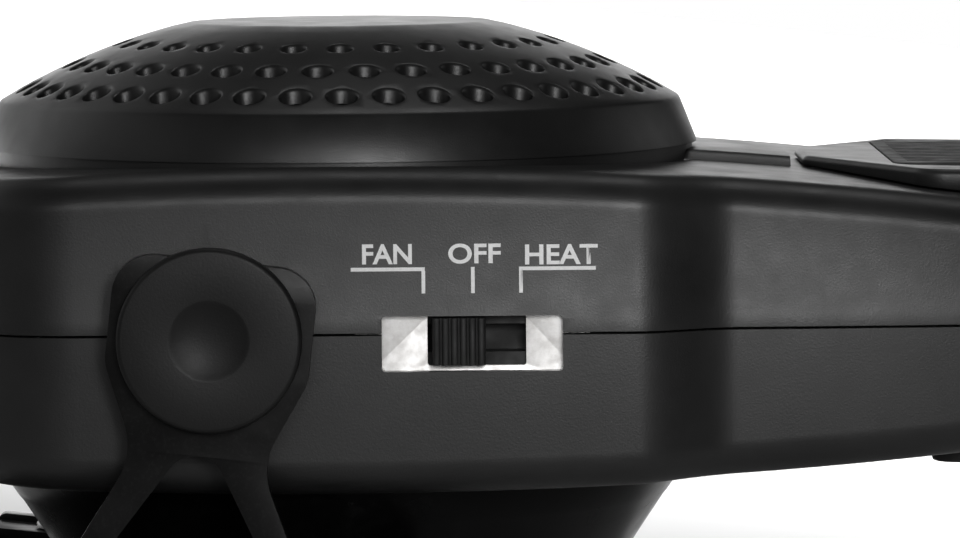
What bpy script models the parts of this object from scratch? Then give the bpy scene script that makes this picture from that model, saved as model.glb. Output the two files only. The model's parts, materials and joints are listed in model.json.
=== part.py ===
"""Portable 12 V fan heater on a tilting bracket.

A two-part housing holds the fan, the motor and the heating element. Air goes in through a
perforated dome and out through a cone below. The housing tilts between two wishbone arms on a
base plate. It has a slide switch on one side and a handle folded on its tail.

The housing and all it holds are modelled level, in body coordinates: the dome's axis is at
x = 0, y = 0 and the parting plane is z = 0. Empties then place them in the world. The bracket
is modelled upright in bracket coordinates, whose zero is the pivot.
"""

import math

import bmesh
import bpy
from mathutils import Matrix, Vector

MM = 0.001
GAP = 0.3 * MM
WELD = 0.001 * MM
SHARP = math.radians(35)
FINE = 48
ROUND = 24
SMALL = 16
SMALLEST = 12

# Placement in the world
PIVOT_WORLD = (-49.145 * MM, 0.0, 53.0 * MM)
REST_TILT = math.radians(6.5)

# Housing, in plan
LEFT_END = -60 * MM
RIGHT_END = 118 * MM
WIDE_HALF = 62.8 * MM
NECK_HALF = 56.8 * MM
NECK_TAPER = 1.5 * MM
WAIST_START = 45 * MM
WAIST_END = 61 * MM
LEFT_CORNER = 22 * MM
RIGHT_CORNER = 18 * MM
# Housing, in height: each face is a shallow parabola along x
TOP_HEIGHT = 24.7 * MM
TOP_CURVE = 1600 * MM
BOTTOM_HEIGHT = 24.4 * MM
BOTTOM_CURVE = 1900 * MM
SHOULDER = 5.6 * MM
WALL = 2.2 * MM

# Inlet cap: a spherical dome over a conical skirt
CAP_SPHERE = 105 * MM
CAP_TOP = 44.5 * MM
CAP_FLAT = 24 * MM
CREASE_RADIUS = 54 * MM
CAP_RADIUS = 57.8 * MM
CAP_RIM = 22.6 * MM
CAP_FOOT = 20.6 * MM
CAP_WALL = 2 * MM
HOLE_SIDES = 6
# Rows of holes: radius, count, width across the row, width along the radius, first angle
HOLE_ROWS = (
    (34.4 * MM, 30, 3.8 * MM, 3.6 * MM, -88.4),
    (42.3 * MM, 37, 4.5 * MM, 4.0 * MM, -93.1),
    (49.5 * MM, 44, 4.7 * MM, 4.2 * MM, -88.2),
)

# Outlet
NOZZLE_RADIUS = 55.9 * MM
NOZZLE_TOP = -22 * MM
NOZZLE_BEND = -24.4 * MM
NOZZLE_MID_RADIUS = 51.9 * MM
NOZZLE_MID = -30.1 * MM
NOZZLE_MOUTH_RADIUS = 45.4 * MM
NOZZLE_MOUTH = -40 * MM
NOZZLE_WALL = 1.8 * MM
GRILLE_RADIUS = 43.3 * MM
GRILLE_HEIGHT = -38.5 * MM
GRILLE_THICKNESS = 2 * MM

# Inside
SHROUD_RADIUS = 44 * MM
SHROUD_WALL = 2 * MM
SHROUD_FLANGE = 57.4 * MM
SHROUD_TOP = 20.3 * MM
SHROUD_BOTTOM = -9.2 * MM
HUB_RADIUS = 15.8 * MM
MOTOR_RADIUS = 13.8 * MM
MOTOR_TOP = 9 * MM
MOTOR_BOTTOM = -3.9 * MM
SHAFT_RADIUS = 1 * MM
IMPELLER_RADIUS = 39.5 * MM
IMPELLER_HUB = 12 * MM
IMPELLER_BOTTOM = 10.2 * MM
IMPELLER_TOP = 22 * MM
BLADES = 7
BLADE_PITCH = math.radians(32)
FRAME_RADIUS = 55.4 * MM
FRAME_BOTTOM = -21.7 * MM
FRAME_TOP = -9.5 * MM
CORE_LENGTH = 65.4 * MM
CORE_WIDTH = 49.4 * MM
CORE_HEIGHT = 10 * MM
CORE_SLOTS = 8

# Pivot and arms
PIVOT_X = -17.9 * MM
DISC_RADIUS = 13.7 * MM
DISC_FACE = 71.8 * MM
DISC_THICKNESS = 2.7 * MM
DIMPLE_RADIUS = 5.9 * MM
DIMPLE_DEPTH = 1.1 * MM
STEM_RADIUS = 3 * MM
STEM_END = 55.8 * MM
BUSH_RADIUS = 6 * MM
WASHER_RADIUS = 10 * MM
ARM_INNER = 65.3 * MM
ARM_THICKNESS = 3.5 * MM
FOOT_HALF = 38 * MM
FOOT_TOP = -46.5 * MM
FOOT_BOTTOM = -49.6 * MM
FLANGE_INNER = 53.8 * MM
FLANGE_TOP = -47.6 * MM
BASE_HALF = 42 * MM
BASE_HALF_WIDTH = 68.8 * MM
BASE_TOP = -49.9 * MM
BASE_THICKNESS = 1.8 * MM
PAD_THICKNESS = 1 * MM
PAD_INSET = 2 * MM
BASE_SCREW_X = 28 * MM
BASE_SCREW_Y = 58.8 * MM

# Slide switch in the near wall
WINDOW = (7.4 * MM, 34.4 * MM, -5.6 * MM, 2.7 * MM)
SLOT = (14.2 * MM, 28.9 * MM, -4.9 * MM, 2.7 * MM)
KNOB_X = 18.9 * MM
KNOB_LENGTH = 8 * MM
KNOB_RIBS = 6

# Raised strip between the cap and the handle
SPINE_HALF = 14 * MM
SPINE_END = 71 * MM
SPINE_LOW = 19 * MM
SPINE_RISE = 1.5 * MM

# Handle on the tail
HINGE_X = 111 * MM
HINGE_Z = 20 * MM
HINGE_RADIUS = 2.7 * MM
HINGE_HALF = 30 * MM
LUG_WIDTH = 6 * MM
LUG_DEPTH = 4.8 * MM
PIN_RADIUS = 1.3 * MM
BORE_LENGTH = 90 * MM
HANDLE_TIP = 73 * MM
HANDLE_TIP_HALF = 12 * MM
HANDLE_FLARE = 90 * MM
HANDLE_HALF = 42 * MM
HANDLE_REAR = 105.5 * MM
HANDLE_TOP_TIP = 23.1 * MM
HANDLE_TOP_HINGE = 22.2 * MM
HANDLE_STEPS = 7
GRIP_X = 95 * MM
GRIP_HALF = (9 * MM, 31 * MM)
GRIP_CORNER = 4 * MM
GRIP_FLOOR = 21.6 * MM

# Fasteners and feet on the housing
SCREW_PLACES = ((-49 * MM, -46 * MM), (-49 * MM, 46 * MM), (103 * MM, -36 * MM), (103 * MM, 36 * MM))
SCREW_RADIUS = 1.3 * MM
SCREW_HEAD = 2.9 * MM
POST_RADIUS = 4.6 * MM
FEET_X = 95 * MM
FEET_Y = 40 * MM
FOOT_RADIUS = 4 * MM
FOOT_LOW = -22 * MM
FOOT_SEAT = -19.2 * MM
POCKET_DEPTH = 3.2 * MM
POST_TOP = 11.5 * MM
# Strain relief of the cord, from its tip inwards: radius and distance along x
GLAND_Z = -6 * MM
GLAND_HOLE = 3.8 * MM
GLAND_BORE = 2 * MM
GLAND_TIP = 124 * MM
GLAND_TAIL = 113 * MM
GLAND_PROFILE = (
    (3.2 * MM, GLAND_TIP),
    (4.2 * MM, 121 * MM),
    (5.2 * MM, 121 * MM),
    (5.2 * MM, 118.3 * MM),
    (3.5 * MM, 118.3 * MM),
    (3.5 * MM, GLAND_TAIL),
)


def clear_scene():
    for obj in list(bpy.data.objects):
        bpy.data.objects.remove(obj)


def new_collection(name):
    group = bpy.data.collections.new(name)
    bpy.context.scene.collection.children.link(group)
    return group


def new_material(name, colour, roughness, metallic):
    finish = bpy.data.materials.new(name)
    finish.use_nodes = True
    shader = finish.node_tree.nodes["Principled BSDF"]
    shader.inputs["Base Color"].default_value = (*colour, 1.0)
    shader.inputs["Roughness"].default_value = roughness
    shader.inputs["Metallic"].default_value = metallic
    finish.diffuse_color = (*colour, 1.0)
    return finish


clear_scene()
PARTS = new_collection("fan_heater")
CUTTERS = new_collection("cutters")
FINISHES = {
    "housing_black": new_material("housing_black", (0.028, 0.028, 0.030), 0.5, 0.0),
    "bracket_black": new_material("bracket_black", (0.020, 0.020, 0.021), 0.42, 0.0),
    "nozzle_black": new_material("nozzle_black", (0.012, 0.012, 0.013), 0.28, 0.0),
    "rubber_black": new_material("rubber_black", (0.015, 0.015, 0.015), 0.8, 0.0),
    "nickel": new_material("nickel", (0.75, 0.74, 0.72), 0.35, 1.0),
    "steel": new_material("steel", (0.55, 0.55, 0.56), 0.3, 1.0),
    "brown_frame": new_material("brown_frame", (0.09, 0.05, 0.03), 0.6, 0.0),
    "aluminium": new_material("aluminium", (0.70, 0.70, 0.71), 0.4, 1.0),
    "fan_grey": new_material("fan_grey", (0.06, 0.06, 0.065), 0.45, 0.0),
}


# Curves of the housing


def top_height(x):
    return TOP_HEIGHT - x * x / TOP_CURVE


def bottom_height(x):
    return x * x / BOTTOM_CURVE - BOTTOM_HEIGHT


def arc(centre, radius, start, end, steps):
    """Points on an arc, both ends included. The angles are in degrees."""
    turns = [math.radians(start + (end - start) * i / steps) for i in range(steps + 1)]
    return [(centre[0] + radius * math.cos(t), centre[1] + radius * math.sin(t)) for t in turns]


def half_outline():
    """The side of the housing where y is negative, in plan, from the left end to the right end."""
    left = arc((LEFT_END + LEFT_CORNER, LEFT_CORNER - WIDE_HALF), LEFT_CORNER, 180, 270, 6)
    tail_half = NECK_HALF - NECK_TAPER
    right = arc((RIGHT_END - RIGHT_CORNER, RIGHT_CORNER - tail_half), RIGHT_CORNER, 270, 360, 6)
    side = [(left[-1][0] + (WAIST_START - left[-1][0]) * i / 5, -WIDE_HALF) for i in range(1, 5)]
    waist = []
    for i in range(7):
        blend = (1 - math.cos(math.pi * i / 6)) / 2
        x = WAIST_START + (WAIST_END - WAIST_START) * i / 6
        waist.append((x, -WIDE_HALF + (WIDE_HALF - NECK_HALF) * blend))
    neck = []
    for i in range(1, 5):
        x = WAIST_END + (right[0][0] - WAIST_END) * i / 5
        neck.append((x, -NECK_HALF + NECK_TAPER * (i / 5) ** 2))
    return left + side + waist + neck + right


def inset_outline(points, inset):
    """The whole outline moved inwards: the half, then its mirror image backwards."""
    whole = points + [(x, -y) for x, y in reversed(points)]
    moved = []
    for i, (x, y) in enumerate(whole):
        before = Vector(whole[i - 1])
        after = Vector(whole[(i + 1) % len(whole)])
        along = (after - before).normalized()
        moved.append((x - along.y * inset, y + along.x * inset))
    return moved


# Ways of making a solid


def add_part(obj, finish, empty=None):
    """Links the object, gives it its finish and hangs it on an empty."""
    if obj.name not in PARTS.objects:
        PARTS.objects.link(obj)
    obj.data.materials.clear()
    obj.data.materials.append(FINISHES[finish])
    if empty is None:
        obj.location = PIVOT_WORLD
    else:
        obj.parent = empty
        obj.location = -Vector(empty["body_point"])
    for modifier in obj.modifiers:
        if modifier.type == "BOOLEAN":
            modifier.object.parent = obj
    return obj


def joint_empty(name, point, parent=None):
    """An empty on a joint's axis. Its point is in body coordinates."""
    empty = bpy.data.objects.new(name, None)
    empty.empty_display_size = 10 * MM
    empty["body_point"] = point
    PARTS.objects.link(empty)
    if parent is None:
        empty.location = PIVOT_WORLD
        empty.rotation_euler.y = -REST_TILT
    else:
        empty.parent = parent
        empty.location = Vector(point) - Vector(parent["body_point"])
    return empty


def finished(name, work):
    """The object of a bmesh, with its faces turned outwards."""
    bmesh.ops.recalc_face_normals(work, faces=work.faces)
    mesh = bpy.data.meshes.new(name)
    work.to_mesh(mesh)
    work.free()
    return bpy.data.objects.new(name, mesh)


def smoothed(obj):
    obj.data.shade_smooth()
    obj.data.set_sharp_from_angle(angle=SHARP)
    return obj


def as_mesh(source, scale=1):
    """Turns a curve or an object with modifiers into a mesh object with welded seams, and scales it."""
    name = source.name
    PARTS.objects.link(source)
    graph = bpy.context.evaluated_depsgraph_get()
    mesh = bpy.data.meshes.new_from_object(source.evaluated_get(graph))
    work = bmesh.new()
    work.from_mesh(mesh)
    bmesh.ops.remove_doubles(work, verts=work.verts, dist=WELD / scale)
    bmesh.ops.recalc_face_normals(work, faces=work.faces)
    work.transform(Matrix.Scale(scale, 4))
    work.to_mesh(mesh)
    work.free()
    bpy.data.objects.remove(source)
    return smoothed(bpy.data.objects.new(name, mesh))


def turned(name, profile, steps):
    """A solid turned about z. A profile that leaves the axis open makes a ring."""
    edges = [(i, i + 1) for i in range(len(profile) - 1)]
    if profile[0][0] > 0:
        edges.append((len(profile) - 1, 0))
    mesh = bpy.data.meshes.new(name)
    mesh.from_pydata([(radius, 0, height) for radius, height in profile], edges, [])
    obj = bpy.data.objects.new(name, mesh)
    screw = obj.modifiers.new("turn", "SCREW")
    screw.steps = steps
    screw.render_steps = steps
    screw.use_merge_vertices = True
    screw.merge_threshold = WELD
    return as_mesh(obj)


def plate(name, loops, thickness):
    """A flat plate about z = 0, drawn in millimetres. The first loop is its outline, the rest are holes."""
    curve = bpy.data.curves.new(name, "CURVE")
    curve.dimensions = "2D"
    curve.fill_mode = "BOTH"
    curve.extrude = thickness / 2 / MM
    for loop in loops:
        spline = curve.splines.new("POLY")
        spline.points.add(len(loop) - 1)
        for point, (x, y) in zip(spline.points, loop):
            point.co = (x / MM, y / MM, 0, 1)
        spline.use_cyclic_u = True
    return as_mesh(bpy.data.objects.new(name, curve), MM)


def rounded_rectangle(half_x, half_y, radius, steps):
    points = []
    for i, (sx, sy) in enumerate(((1, 1), (-1, 1), (-1, -1), (1, -1))):
        centre = (sx * (half_x - radius), sy * (half_y - radius))
        points += arc(centre, radius, 90 * i, 90 * i + 90, steps)
    return points


def circle(centre, radius, steps):
    return arc(centre, radius, 0, 360, steps)[:-1]


def add_box(work, low, high):
    middle = (Vector(low) + Vector(high)) / 2
    size = Vector(high) - Vector(low)
    place = Matrix.Translation(middle) @ Matrix.Diagonal((*size, 1))
    bmesh.ops.create_cube(work, size=1, matrix=place)


def add_rod(work, centre, radius, length, axis="Z", steps=SMALL):
    turns = {"X": Matrix.Rotation(math.pi / 2, 4, "Y"), "Y": Matrix.Rotation(math.pi / 2, 4, "X")}
    place = Matrix.Translation(centre) @ turns.get(axis, Matrix.Identity(4))
    bmesh.ops.create_cone(
        work, cap_ends=True, segments=steps, radius1=radius, radius2=radius, depth=length, matrix=place
    )


def combine(obj, tool, operation):
    """A Boolean of obj with a helper, which is kept among the cutters."""
    CUTTERS.objects.link(tool)
    tool.hide_render = True
    tool.display_type = "WIRE"
    boolean = obj.modifiers.new(operation.lower(), "BOOLEAN")
    boolean.operation = operation
    boolean.solver = "EXACT"
    boolean.object = tool
    return boolean


def upright(obj, y):
    """Stands a plate in the xz plane, with its middle at y."""
    obj.data.transform(Matrix.Translation((0, y, 0)) @ Matrix.Rotation(math.pi / 2, 4, "X"))
    return obj


def filleted(corners, steps=4):
    """A closed outline from corners of (x, y, radius), each rounded by its radius."""
    points = []
    for i, (x, y, radius) in enumerate(corners):
        corner = Vector((x, y))
        if radius == 0:
            points.append((x, y))
            continue
        back = (Vector(corners[i - 1][:2]) - corner).normalized()
        ahead = (Vector(corners[(i + 1) % len(corners)][:2]) - corner).normalized()
        half = back.angle(ahead) / 2
        start = corner + back * (radius / math.tan(half))
        centre = corner + (back + ahead).normalized() * (radius / math.sin(half))
        sweep = (math.pi - 2 * half) * (1 if back.cross(ahead) < 0 else -1)
        spoke = start - centre
        for step in range(steps + 1):
            points.append(tuple(centre + Matrix.Rotation(sweep * step / steps, 2) @ spoke))
    return points


def mirrored(corners):
    """Corners on the side where x is positive, from the top down, and then their mirror images."""
    return corners + [(-x, y, radius) for x, y, radius in reversed(corners)]


# Housing


def housing_half(name, side):
    """Half of the housing: rings up the wall and round the shoulder, then strips across."""
    face_height = top_height if side > 0 else bottom_height
    half = half_outline()
    levels = [(0, None), (0, SHOULDER)]
    for i in range(1, 5):
        turn = math.pi / 2 * i / 4
        levels.append((SHOULDER * (1 - math.cos(turn)), SHOULDER * (1 - math.sin(turn))))
    work = bmesh.new()
    rings = []
    for inset, drop in levels:
        ring = []
        for x, y in inset_outline(half, inset):
            z = side * GAP / 2 if drop is None else face_height(x) - side * drop
            ring.append(work.verts.new((x, y, z)))
        rings.append(ring)
    for low, high in zip(rings, rings[1:]):
        for i in range(len(low)):
            work.faces.new((low[i - 1], low[i], high[i], high[i - 1]))
    last = rings[-1]
    for i in range(len(half) - 1):
        work.faces.new((last[i], last[i + 1], last[-2 - i], last[-1 - i]))
    shell = smoothed(finished(name, work))
    wall = shell.modifiers.new("wall", "SOLIDIFY")
    wall.thickness = WALL
    wall.offset = -1
    wall.use_even_offset = True
    return shell


def add_wall_cuts(work):
    """The switch window and the two pivot holes. The parting plane runs through all three."""
    add_box(work, (WINDOW[0], -WIDE_HALF - MM, WINDOW[2]), (WINDOW[1], -WIDE_HALF + 2 * WALL, WINDOW[3]))
    for side in (-1, 1):
        add_rod(work, (PIVOT_X, side * WIDE_HALF, 0), STEM_RADIUS + GAP, 4 * WALL, "Y")


def hinge_lug(y):
    low = HINGE_Z - LUG_DEPTH
    corners = [(HINGE_X - HINGE_RADIUS, low), (HINGE_X + HINGE_RADIUS, low)]
    lug = plate("lug", [corners + arc((HINGE_X, HINGE_Z), HINGE_RADIUS, 0, 180, 8)], LUG_WIDTH)
    return upright(lug, y)


def upper_shell(empty):
    shell = housing_half("upper_shell", 1)
    added = bmesh.new()
    for x, y in SCREW_PLACES:
        top = top_height(x) - WALL / 2
        add_rod(added, (x, y, (top + GAP / 2) / 2), POST_RADIUS, top - GAP / 2)
    high = TOP_HEIGHT + SPINE_RISE
    add_box(added, (CREASE_RADIUS, -SPINE_HALF, SPINE_LOW), (SPINE_END, SPINE_HALF, high))
    for vertex in added.verts:
        if vertex.co.z > TOP_HEIGHT:
            vertex.co.z = top_height(vertex.co.x) + SPINE_RISE
    for side in (-1, 1):
        lug = hinge_lug(side * (HINGE_HALF + GAP + LUG_WIDTH / 2))
        added.from_mesh(lug.data)
        bpy.data.objects.remove(lug)
    combine(shell, finished("upper_added", added), "UNION")
    cut = bmesh.new()
    add_wall_cuts(cut)
    add_rod(cut, (0, 0, 31 * MM), CAP_RADIUS + GAP, 30 * MM, steps=FINE)
    for x, y in SCREW_PLACES:
        add_rod(cut, (x, y, 5 * MM), SCREW_RADIUS + GAP, 16 * MM, steps=SMALLEST)
    add_rod(cut, (HINGE_X, 0, HINGE_Z), PIN_RADIUS + GAP, BORE_LENGTH, "Y", SMALLEST)
    combine(shell, finished("upper_cut", cut), "DIFFERENCE")
    return add_part(shell, "housing_black", empty)


def lower_shell(empty):
    shell = housing_half("lower_shell", -1)
    added = bmesh.new()
    for x, y in SCREW_PLACES:
        low = bottom_height(x) + WALL / 2
        add_rod(added, (x, y, (low - GAP / 2) / 2), POST_RADIUS, -GAP / 2 - low)
    combine(shell, finished("lower_added", added), "UNION")
    cut = bmesh.new()
    add_wall_cuts(cut)
    add_rod(cut, (0, 0, -26 * MM), NOZZLE_RADIUS + GAP, 20 * MM, steps=FINE)
    for x, y in SCREW_PLACES:
        add_rod(cut, (x, y, -10 * MM), SCREW_RADIUS + GAP, 40 * MM, steps=SMALLEST)
    add_rod(cut, (RIGHT_END, 0, GLAND_Z), GLAND_HOLE, 10 * MM, "X")
    combine(shell, finished("lower_cut", cut), "DIFFERENCE")
    pockets = bmesh.new()
    for x, y in SCREW_PLACES:
        floor = pocket_floor(x)
        add_rod(pockets, (x, y, floor - 10 * MM), SCREW_HEAD + GAP, 20 * MM)
    for side in (-1, 1):
        place = (FEET_X, side * FEET_Y, FOOT_SEAT + GAP - 10 * MM)
        add_rod(pockets, place, FOOT_RADIUS + GAP, 20 * MM)
    combine(shell, finished("lower_pockets", pockets), "DIFFERENCE")
    return add_part(shell, "housing_black", empty)


def pocket_floor(x):
    return bottom_height(x) + POCKET_DEPTH


def sphere_height(radius, sphere):
    """The height of the cap's dome, outer or inner, at a radius."""
    centre = CAP_TOP - math.sqrt(CAP_SPHERE**2 - CAP_FLAT**2)
    return centre + math.sqrt(sphere**2 - radius**2)


def inlet_cap(empty):
    profile = [(0, CAP_TOP)]
    for i in range(6):
        radius = CAP_FLAT + (CREASE_RADIUS - CAP_FLAT) * i / 5
        profile.append((radius, sphere_height(radius, CAP_SPHERE)))
    profile += [(CAP_RADIUS, CAP_RIM), (CAP_RADIUS, CAP_FOOT)]
    profile += [(CAP_RADIUS - CAP_WALL, CAP_FOOT), (CAP_RADIUS - CAP_WALL, CAP_RIM - 0.6 * MM)]
    for i in range(4):
        radius = CREASE_RADIUS - 1.8 * MM - (CREASE_RADIUS - CAP_FLAT) * i / 3
        profile.append((radius, sphere_height(radius, CAP_SPHERE - CAP_WALL)))
    profile.append((0, profile[-1][1]))
    cap = turned("inlet_cap", profile, FINE)
    holes = bmesh.new()
    half = 0.5
    for radius, count, across, along, first in HOLE_ROWS:
        for i in range(count):
            turn = Matrix.Rotation(math.radians(first + 360 * i / count), 4, "Z")
            size = Matrix.Diagonal((along, across, 1, 1))
            place = turn @ Matrix.Translation((radius, 0, 38 * MM)) @ size
            bmesh.ops.create_cone(
                holes,
                cap_ends=True,
                segments=HOLE_SIDES,
                radius1=half,
                radius2=half,
                depth=26 * MM,
                matrix=place,
            )
    combine(cap, finished("cap_holes", holes), "DIFFERENCE")
    return add_part(cap, "housing_black", empty)


# Outlet and heating element


def outlet_nozzle(empty):
    outer = [
        (NOZZLE_RADIUS, NOZZLE_TOP),
        (NOZZLE_RADIUS, NOZZLE_BEND),
        (NOZZLE_MID_RADIUS, NOZZLE_MID),
        (NOZZLE_MOUTH_RADIUS, NOZZLE_MOUTH),
    ]
    inner = [(radius - NOZZLE_WALL, height) for radius, height in reversed(outer)]
    return add_part(turned("outlet_nozzle", outer + inner, FINE), "nozzle_black", empty)


def outlet_grille(empty):
    loops = [circle((0, 0), GRILLE_RADIUS, FINE)]
    for ring in range(3):
        inner = (9 + 11 * ring) * MM
        outer = inner + 7.5 * MM
        bar = math.degrees(2 * MM / inner)
        for quarter in range(4):
            start = 90 * quarter + bar
            end = 90 * quarter + 90 - bar
            loops.append(arc((0, 0), outer, start, end, 6) + arc((0, 0), inner, end, start, 6))
    grille = plate("outlet_grille", loops, GRILLE_THICKNESS)
    grille.data.transform(Matrix.Translation((0, 0, GRILLE_HEIGHT)))
    return add_part(grille, "nozzle_black", empty)


def heater_frame(empty):
    window = rounded_rectangle(CORE_LENGTH / 2 + GAP, CORE_WIDTH / 2 + GAP, 0.5 * MM, 1)
    loops = [circle((0, 0), FRAME_RADIUS, FINE), window]
    frame = plate("heater_frame", loops, FRAME_TOP - FRAME_BOTTOM)
    frame.data.transform(Matrix.Translation((0, 0, (FRAME_TOP + FRAME_BOTTOM) / 2)))
    return add_part(frame, "brown_frame", empty)


def ptc_heater_core(empty):
    loops = [rounded_rectangle(CORE_LENGTH / 2, CORE_WIDTH / 2, 0.5 * MM, 1)]
    pitch = (CORE_WIDTH - 3 * MM) / CORE_SLOTS
    for i in range(CORE_SLOTS):
        y = (i + 0.5) * pitch - CORE_SLOTS * pitch / 2
        slot = [(-1, -1), (1, -1), (1, 1), (-1, 1)]
        loops.append([(sx * 0.45 * CORE_LENGTH, y + sy * 0.3 * pitch) for sx, sy in slot])
    core = plate("ptc_heater_core", loops, CORE_HEIGHT)
    core.data.transform(Matrix.Translation((0, 0, (FRAME_TOP + FRAME_BOTTOM) / 2)))
    return add_part(core, "aluminium", empty)


def thermal_cutout(empty):
    base = FRAME_TOP + GAP
    profile = [(0, base + 3.5 * MM), (3.2 * MM, base + 3.5 * MM), (3.2 * MM, base + 1 * MM)]
    profile += [(4.5 * MM, base + 1 * MM), (4.5 * MM, base), (0, base)]
    cutout = turned("thermal_cutout", profile, SMALL)
    cutout.data.transform(Matrix.Translation((0, -34 * MM, 0)))
    return add_part(cutout, "steel", empty)


# Fan


def fan_shroud(empty):
    """The duct round the fan, with a flange for the cap and three spokes that hold the motor's cup."""
    inner = SHROUD_RADIUS - SHROUD_WALL
    profile = [
        (SHROUD_FLANGE, SHROUD_TOP),
        (SHROUD_FLANGE, SHROUD_TOP - 2 * MM),
        (SHROUD_RADIUS, SHROUD_TOP - 2 * MM),
        (SHROUD_RADIUS, SHROUD_BOTTOM),
        (inner, SHROUD_BOTTOM),
        (inner, SHROUD_TOP),
    ]
    shroud = turned("fan_shroud", profile, 40)
    bore = MOTOR_RADIUS + GAP
    floor = MOTOR_BOTTOM - GAP
    cup = [(0, floor), (bore, floor), (bore, 4 * MM), (HUB_RADIUS, 4 * MM)]
    cup += [(HUB_RADIUS, floor - 2.2 * MM), (0, floor - 2.2 * MM)]
    combine(shroud, turned("motor_cup", cup, 24), "UNION")
    spokes = bmesh.new()
    for i in range(3):
        spoke = bmesh.new()
        add_box(spoke, (15 * MM, -2.5 * MM, -6.2 * MM), (inner + SHROUD_WALL / 2, 2.5 * MM, -3.4 * MM))
        spoke.transform(Matrix.Rotation(math.radians(120 * i - 30), 4, "Z"))
        mesh = bpy.data.meshes.new("spoke")
        spoke.to_mesh(mesh)
        spoke.free()
        spokes.from_mesh(mesh)
        bpy.data.meshes.remove(mesh)
    combine(shroud, finished("shroud_spokes", spokes), "UNION")
    return add_part(shroud, "housing_black", empty)


def motor_can(empty):
    bore = SHAFT_RADIUS + GAP
    profile = [(0, 2 * MM), (bore, 2 * MM), (bore, MOTOR_TOP), (MOTOR_RADIUS - MM, MOTOR_TOP)]
    profile += [(MOTOR_RADIUS, MOTOR_TOP - MM), (MOTOR_RADIUS, MOTOR_BOTTOM), (0, MOTOR_BOTTOM)]
    return add_part(turned("motor_can", profile, 24), "steel", empty)


def motor_shaft(empty):
    work = bmesh.new()
    low = 2 * MM + GAP
    high = IMPELLER_TOP - 2.3 * MM
    add_rod(work, (0, 0, (low + high) / 2), SHAFT_RADIUS, high - low, steps=SMALLEST)
    return add_part(finished("motor_shaft", work), "steel", empty)


def fan_impeller(empty):
    bore = SHAFT_RADIUS + GAP
    edge = IMPELLER_TOP - 2 * MM
    profile = [(0, IMPELLER_TOP), (IMPELLER_HUB - 2 * MM, IMPELLER_TOP), (IMPELLER_HUB, edge)]
    profile += [(IMPELLER_HUB, IMPELLER_BOTTOM), (bore, IMPELLER_BOTTOM), (bore, edge), (0, edge)]
    impeller = turned("fan_impeller", profile, 28)
    blades = bmesh.new()
    middle = (IMPELLER_BOTTOM + IMPELLER_TOP) / 2
    for i in range(BLADES):
        place = Matrix.Rotation(2 * math.pi * i / BLADES, 4, "Z") @ Matrix.Translation((0, 0, middle))
        place = place @ Matrix.Rotation(BLADE_PITCH, 4, "X")
        for vertex in bmesh.ops.create_cube(blades, size=1)["verts"]:
            at_tip = vertex.co.x > 0
            radius = IMPELLER_RADIUS if at_tip else IMPELLER_HUB - MM
            chord = 19 * MM if at_tip else 8 * MM
            vertex.co = place @ Vector((radius, vertex.co.y * chord, vertex.co.z * 1.4 * MM))
    combine(impeller, finished("impeller_blades", blades), "UNION")
    return add_part(impeller, "fan_grey", empty)


# Pivot


def along_y(obj, side):
    """Lays a piece that was turned about z along y, with its heights counted outwards from y = 0."""
    outward = Matrix.Rotation(side * -math.pi / 2, 4, "X")
    obj.data.transform(Matrix.Translation((PIVOT_X, 0, 0)) @ outward)
    return obj


def pivot_disc(name, side, empty):
    """A turned disc with a spherical dimple, in one piece with its threaded stem."""
    sphere = (DIMPLE_RADIUS**2 + DIMPLE_DEPTH**2) / (2 * DIMPLE_DEPTH)
    profile = []
    for i in range(5):
        radius = DIMPLE_RADIUS * i / 4
        profile.append((radius, DISC_FACE - DIMPLE_DEPTH + sphere - math.sqrt(sphere**2 - radius**2)))
    back = DISC_FACE - DISC_THICKNESS
    profile += [(DISC_RADIUS - 0.6 * MM, DISC_FACE), (DISC_RADIUS, DISC_FACE - 0.6 * MM)]
    profile += [(DISC_RADIUS, back), (STEM_RADIUS, back), (STEM_RADIUS, STEM_END), (0, STEM_END)]
    return add_part(along_y(turned(name, profile, ROUND), side), "bracket_black", empty)


def ring_on_pivot(name, side, inner, outer, low, high, finish, steps, empty):
    profile = [(outer, high), (outer, low), (inner, low), (inner, high)]
    return add_part(along_y(turned(name, profile, steps), side), finish, empty)


def pivot_set(label, side, empty):
    hole = STEM_RADIUS + GAP
    outside = WIDE_HALF + GAP
    back = DISC_FACE - DISC_THICKNESS - GAP
    pivot_disc("pivot_disc_" + label, side, empty)
    ring_on_pivot("pivot_bush_" + label, side, hole, BUSH_RADIUS, outside, back, "steel", SMALL, empty)
    washer_face = ARM_INNER - GAP
    ring_on_pivot(
        "friction_washer_" + label,
        side,
        BUSH_RADIUS + GAP,
        WASHER_RADIUS,
        outside,
        washer_face,
        "rubber_black",
        SMALL + 4,
        empty,
    )
    nut_face = WIDE_HALF - WALL - GAP
    nut_hole = hole / math.cos(math.pi / 6)
    ring_on_pivot(
        "pivot_nut_" + label, side, nut_hole, 6 * MM, nut_face - 3.6 * MM, nut_face, "steel", 6, empty
    )


# Bracket


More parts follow.
